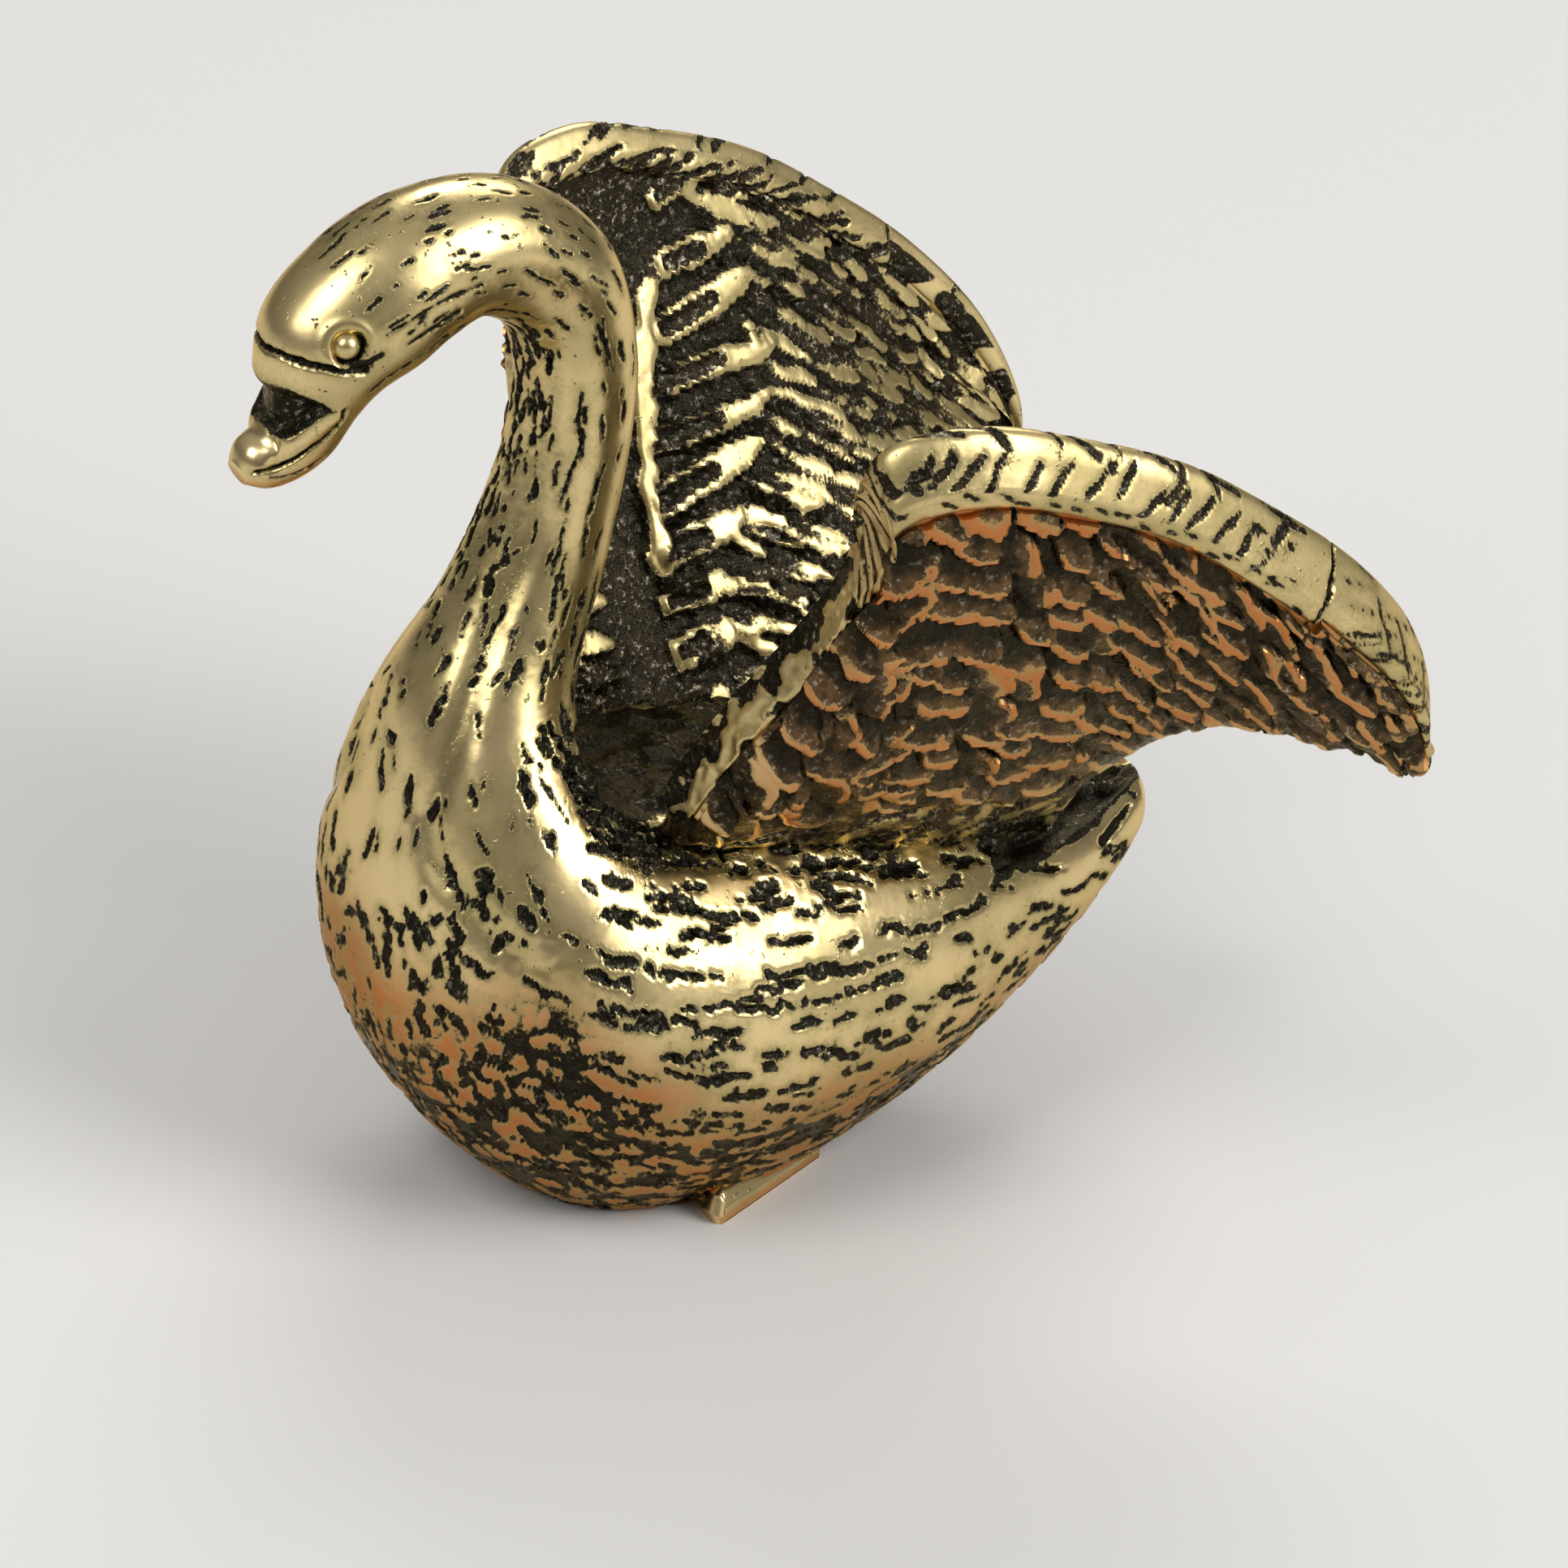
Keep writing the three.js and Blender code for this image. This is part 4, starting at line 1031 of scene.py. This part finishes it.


# Old grime in the hollows of polished brass, with painted glints on the grime's high places and a painted
# warm reflection in copper and brown, as colour, roughness, metallic and height.
def agedBrassAndPaintedLightGroup():
    tree = bpy.data.node_groups.new("agedBrassAndPaintedLight", "ShaderNodeTree")
    sockets = [("Color", "INPUT", brass), ("Float", "INPUT", ("Brownness", "Grime", "Painted_warm_reflection", "Painted_glint")),
               ("Vector", "INPUT", ("Vector",)), ("Color", "OUTPUT", ("Colour",)),
               ("Float", "OUTPUT", ("Roughness", "Metallic", "Height"))]
    for kind, way, names in sockets:
        for name in names:
            made = tree.interface.new_socket(name=name, in_out=way, socket_type="NodeSocket" + kind)
            if name in brass:
                made.default_value = brass[name]
    given, result = tree.nodes.new("NodeGroupInput").outputs, tree.nodes.new("NodeGroupOutput").inputs

    def noise(size, detail, roughness):
        inputs = {"Scale": 1 / (size * mm), "Detail": detail, "Roughness": roughness}
        return addNode(tree, "TexNoise", {**inputs, "Vector": given["Vector"]})

    def within(value, low, high, toLow=0.0, toHigh=1.0):
        inputs = {"From Min": low, "From Max": high, "To Min": toLow, "To Max": toHigh, "Value": value}
        return addNode(tree, "MapRange", inputs, interpolation_type="SMOOTHSTEP")

    def reckon(operation, first, second, clamp=False):
        return addNode(tree, "Math", {0: first, 1: second}, operation=operation, use_clamp=clamp)

    def times(first, second):
        return reckon("MULTIPLY", first, second)

    def plus(first, second, clamp=False):
        return reckon("ADD", first, second, clamp)

    def minus(first, second):
        return reckon("SUBTRACT", first, second)

    def blend(factor, first, second):
        return addNode(tree, "Mix", {0: factor, 6: first, 7: second}, 2, data_type="RGBA")

    fine, speck, glint = noise(0.16, 3, 0.6), noise(0.26, 2, 0.5), noise(0.24, 3, 0.65)
    cloud, lump = noise(3.4, 2, 0.5), noise(0.55, 2, 0.5)
    # ragged edge of the grime, and stray specks of it on the polished metal, in patches
    ragged = plus(given["Grime"], times(minus(fine, 0.5), 0.46))
    stray = times(within(speck, 0.66, 0.72), within(cloud, 0.42, 0.62))
    grimy = reckon("MAXIMUM", within(ragged, 0.42, 0.60), times(stray, 0.8))
    # polished metal, clouded with olive, with copper colour blended in as a painted warm reflection, and a
    # thin film around the grime
    clouded = blend(within(cloud, 0.42, 0.70, 0.0, 0.55), given["polished"], given["olive"])
    clouded = blend(given["Painted_warm_reflection"], clouded, given["warmReflectionColour"])
    clouded = blend(within(ragged, 0.06, 0.5, 0.0, 0.7), clouded, given["olive"])
    # painted light on the grime: brown where the painted warm reflection falls on its high places, black
    # lower down as painted shade in the crevices
    warmLitTops = times(within(given["Painted_warm_reflection"], 0.1, 0.6, 0.12), within(given["Painted_glint"], 0.1, 0.9, 0.1))
    brownish = times(times(warmLitTops, given["Brownness"]), within(lump, 0.35, 0.6, 0.3))
    grimeWithPaintedLight = blend(brownish, given["grimeColour"], given["warmLitGrime"])
    # painted glints: light grey specks of colour on the high sides of the rough places
    paintedGlints = times(within(glint, 0.54, 0.72), plus(given["Painted_glint"], 0.05, True))
    grimeWithPaintedLight = blend(paintedGlints, grimeWithPaintedLight, given["paintedGlintColour"])
    shine = plus(within(cloud, 0.3, 0.7, 0.205, 0.295), times(given["Brownness"], 0.12))
    rough = addNode(tree, "Mix", {0: grimy, 2: shine, 3: within(speck, 0.3, 0.7, 0.17, 0.36)})
    pitted, worn = times(plus(fine, glint), grimy), times(minus(lump, 0.5), 0.12)
    height = minus(plus(pitted, worn), times(grimy, 0.8))
    for name, value in (("Colour", blend(grimy, clouded, grimeWithPaintedLight)), ("Roughness", rough),
                        ("Metallic", minus(1, times(grimy, 0.25))), ("Height", height)):
        tree.links.new(value, result[name])
    return tree


def brassMaterial(name, group, brownness):
    material = bpy.data.materials.new(name)
    material.use_nodes = True
    nodes, links = material.node_tree.nodes, material.node_tree.links
    shader = nodes["Principled BSDF"].inputs
    shader["Specular IOR Level"].default_value = 0.25
    shader["Specular Tint"].default_value = (1, 0.86, 0.62, 1)
    agedAndPaintedLight = nodes.new("ShaderNodeGroup")
    agedAndPaintedLight.node_tree = group
    agedAndPaintedLight.inputs["Brownness"].default_value = brownness
    links.new(nodes.new("ShaderNodeTexCoord").outputs["Object"], agedAndPaintedLight.inputs["Vector"])
    for layer in toneLayers:
        read = nodes.new("ShaderNodeAttribute")
        read.attribute_name = layer
        links.new(read.outputs["Fac"], agedAndPaintedLight.inputs[layer.capitalize()])
    dents = nodes.new("ShaderNodeBump")
    dents.inputs["Strength"].default_value = 0.85
    dents.inputs["Distance"].default_value = 0.07 * mm
    links.new(agedAndPaintedLight.outputs["Height"], dents.inputs["Height"])
    for out, name in ((dents.outputs["Normal"], "Normal"), (agedAndPaintedLight.outputs["Colour"], "Base Color"),
                      (agedAndPaintedLight.outputs["Roughness"], "Roughness"), (agedAndPaintedLight.outputs["Metallic"], "Metallic")):
        links.new(out, shader[name])
    return material


# Feet and eyes
foot = {
    "length": 6.5, "splay": 25, "heel": (4.3, 3.9),  # mm, and degrees outwards
    "width": (1.6, 3.4), "roll": (0.8, 1.35), "crest": (1.6, 2.6),  # at the heel and at the toes
    "rounding": 0.14, "ribs": 11, "ribDepth": 0.06, "notchAt": 0.84, "cuts": 64,
}
eye = {"radius": 0.44, "flatness": 0.92, "behind": 0.25, "outBy": 0.04, "faces": (-0.25, 0.18)}


# A block cut fine, then drawn to the foot's wedge, with a dark ribbed web inside a polished rim.
def makeFoot(name, side):
    bpy.ops.mesh.primitive_cube_add(size=1)
    piece = bpy.context.object
    piece.name = name + "FootWeb"
    openPiece(piece)
    bpy.ops.mesh.subdivide(number_cuts=foot["cuts"])
    bpy.ops.object.mode_set(mode="OBJECT")
    mesh = piece.data
    unit = np.empty(len(mesh.vertices) * 3)
    mesh.vertices.foreach_get("co", unit)
    toe, inwards, up = unit.reshape(-1, 3).T + 0.5
    past = np.maximum(0, (toe - 1) / foot["rounding"] + 1)
    low = mix(1, 0.78, past**2)
    width, roll, crest = [mix(*foot[k], toe) for k in ("width", "roll", "crest")]
    roll, crest = roll * low, crest * low
    cos, sin = math.cos(math.radians(foot["splay"])), math.sin(math.radians(foot["splay"]))
    inside = inwards * width
    over = inside / roll
    rolled = roll * (0.42 + 0.58 * np.sqrt(np.clip(1 - ((over - 0.52) / 0.56) ** 2, 0, 1)))
    ribs = np.cos(toe * foot["ribs"] * 2 * np.pi + inside * 1.2)
    rise = np.clip((inside - 1.05 * roll) / (width - roll), 0, 1) ** 0.8
    web = mix(0.62 * roll, crest, rise) + foot["ribDepth"] * ribs
    onWeb = ease(over, 0.98, 1.12)
    top = mix(rolled, web, onWeb)
    notch = bump((toe - foot["notchAt"]) * foot["length"], 0.12) * ease(over, 0.2, 0.5)
    top = top - 0.14 * notch * (1 - onWeb)
    corner = 1 - np.sqrt(np.clip(1 - np.clip(1 - inside / 0.85, 0, 1) ** 2, 0, 1))
    run = foot["length"] * toe - (0.35 * np.abs(up - 0.4) + 0.55 * corner) * ease(toe, 0.9, 1)
    height = up * top
    tuck = roll * (1 - np.sin(np.pi * up)) * np.where(up > 0.5, 0.2, 0.05)
    x = foot["heel"][0] - run * cos + inside * sin * 0.3
    y = side * (foot["heel"][1] + run * sin - inside - tuck * (inwards < 0.01))
    mesh.vertices.foreach_set("co", (np.stack([x, y, height], -1) * mm).ravel())
    onTop = ease(up, 0.8, 1.0)
    grime = onTop * onWeb * (0.85 - 0.45 * ease(ribs, 0.2, 1) * ease(inside, 1.5, 2.1) * ease(toe, 0.4, 0.9))
    # the lower side's copper colour is a painted warm reflection, and the web's top gets painted glints
    layers = {"grime": np.maximum(grime, 0.9 * notch * (1 - onWeb) * ease(up, 0.5, 0.9)),
              "painted_warm_reflection": 0.55 * ease(0.7 - up, 0, 0.5) * (inwards < 0.02), "painted_glint": onTop * onWeb}
    for layer, values in layers.items():
        addLayer(mesh, layer, values)
    faceOutwards(piece)
    return piece


# A bead, a little flattened outwards, with its back pressed into the head.
def makeEye(name, side):
    low, high = [np.array(corner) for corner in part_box(name + "_eye")]
    centre = (low + high) / 2
    forwards, upwards = eye["faces"]
    outwards = Vector((forwards, side, upwards)).normalized()
    bpy.ops.mesh.primitive_uv_sphere_add(segments=48, ring_count=32, radius=eye["radius"] * mm)
    piece = bpy.context.object
    piece.name = name + "EyeBead"
    openPiece(piece)
    bpy.ops.transform.resize(value=(1, 1, eye["flatness"]))
    bpy.ops.mesh.bisect(plane_co=(0, 0, -eye["behind"] * mm), plane_no=(0, 0, 1), use_fill=True,
                        clear_inner=True)
    bpy.ops.object.mode_set(mode="OBJECT")
    turn = outwards.to_track_quat("Z", "Y").to_matrix().to_4x4()
    piece.matrix_world = Matrix.Translation(Vector(centre) + outwards * eye["outBy"] * mm) @ turn
    bpy.ops.object.transform_apply(location=True, rotation=True, scale=True)
    return piece


addCamera()
addLights()
addFloor()
group = agedBrassAndPaintedLightGroup()
polishedBrass = brassMaterial("polishedBrass", group, 0.3)
darkenedBrass = brassMaterial("darkenedBrass", group, 1.0)
print("studio and brass ready")

bodySheet = trunkSheet(trunk["bodyRows"], trunk["bodyColumns"])
carveTrunk(bodySheet)
bodyPiece = meshOfSheet("bodyCasting", bodySheet)
halve(bodyPiece, trunk["jointHeight"], False)
halve(bodyPiece, 0, True)
dress(bodyPiece, polishedBrass, "body")
neckSheet = trunkSheet(trunk["neckRows"], trunk["neckColumns"])
carveTrunk(neckSheet)
neckPiece = meshOfSheet("neckCasting", neckSheet)
halve(neckPiece, trunk["jointHeight"], True)
dress(neckPiece, polishedBrass, "neck_and_head")
print("trunk carved")

for name, side, seed in (("left", -1, 21), ("right", 1, 22)):
    piece = meshOfSheet(name + "WingCasting", makeWing(side, seed))
    dress(piece, darkenedBrass, name + "_wing")
print("wings feathered")

for name, side in (("left", -1), ("right", 1)):
    dress(makeFoot(name, side), polishedBrass, name + "_foot")
    dress(makeEye(name, side), polishedBrass, name + "_eye")
print("feet and eyes set")

bpy.context.scene.view_settings.view_transform = "Standard"
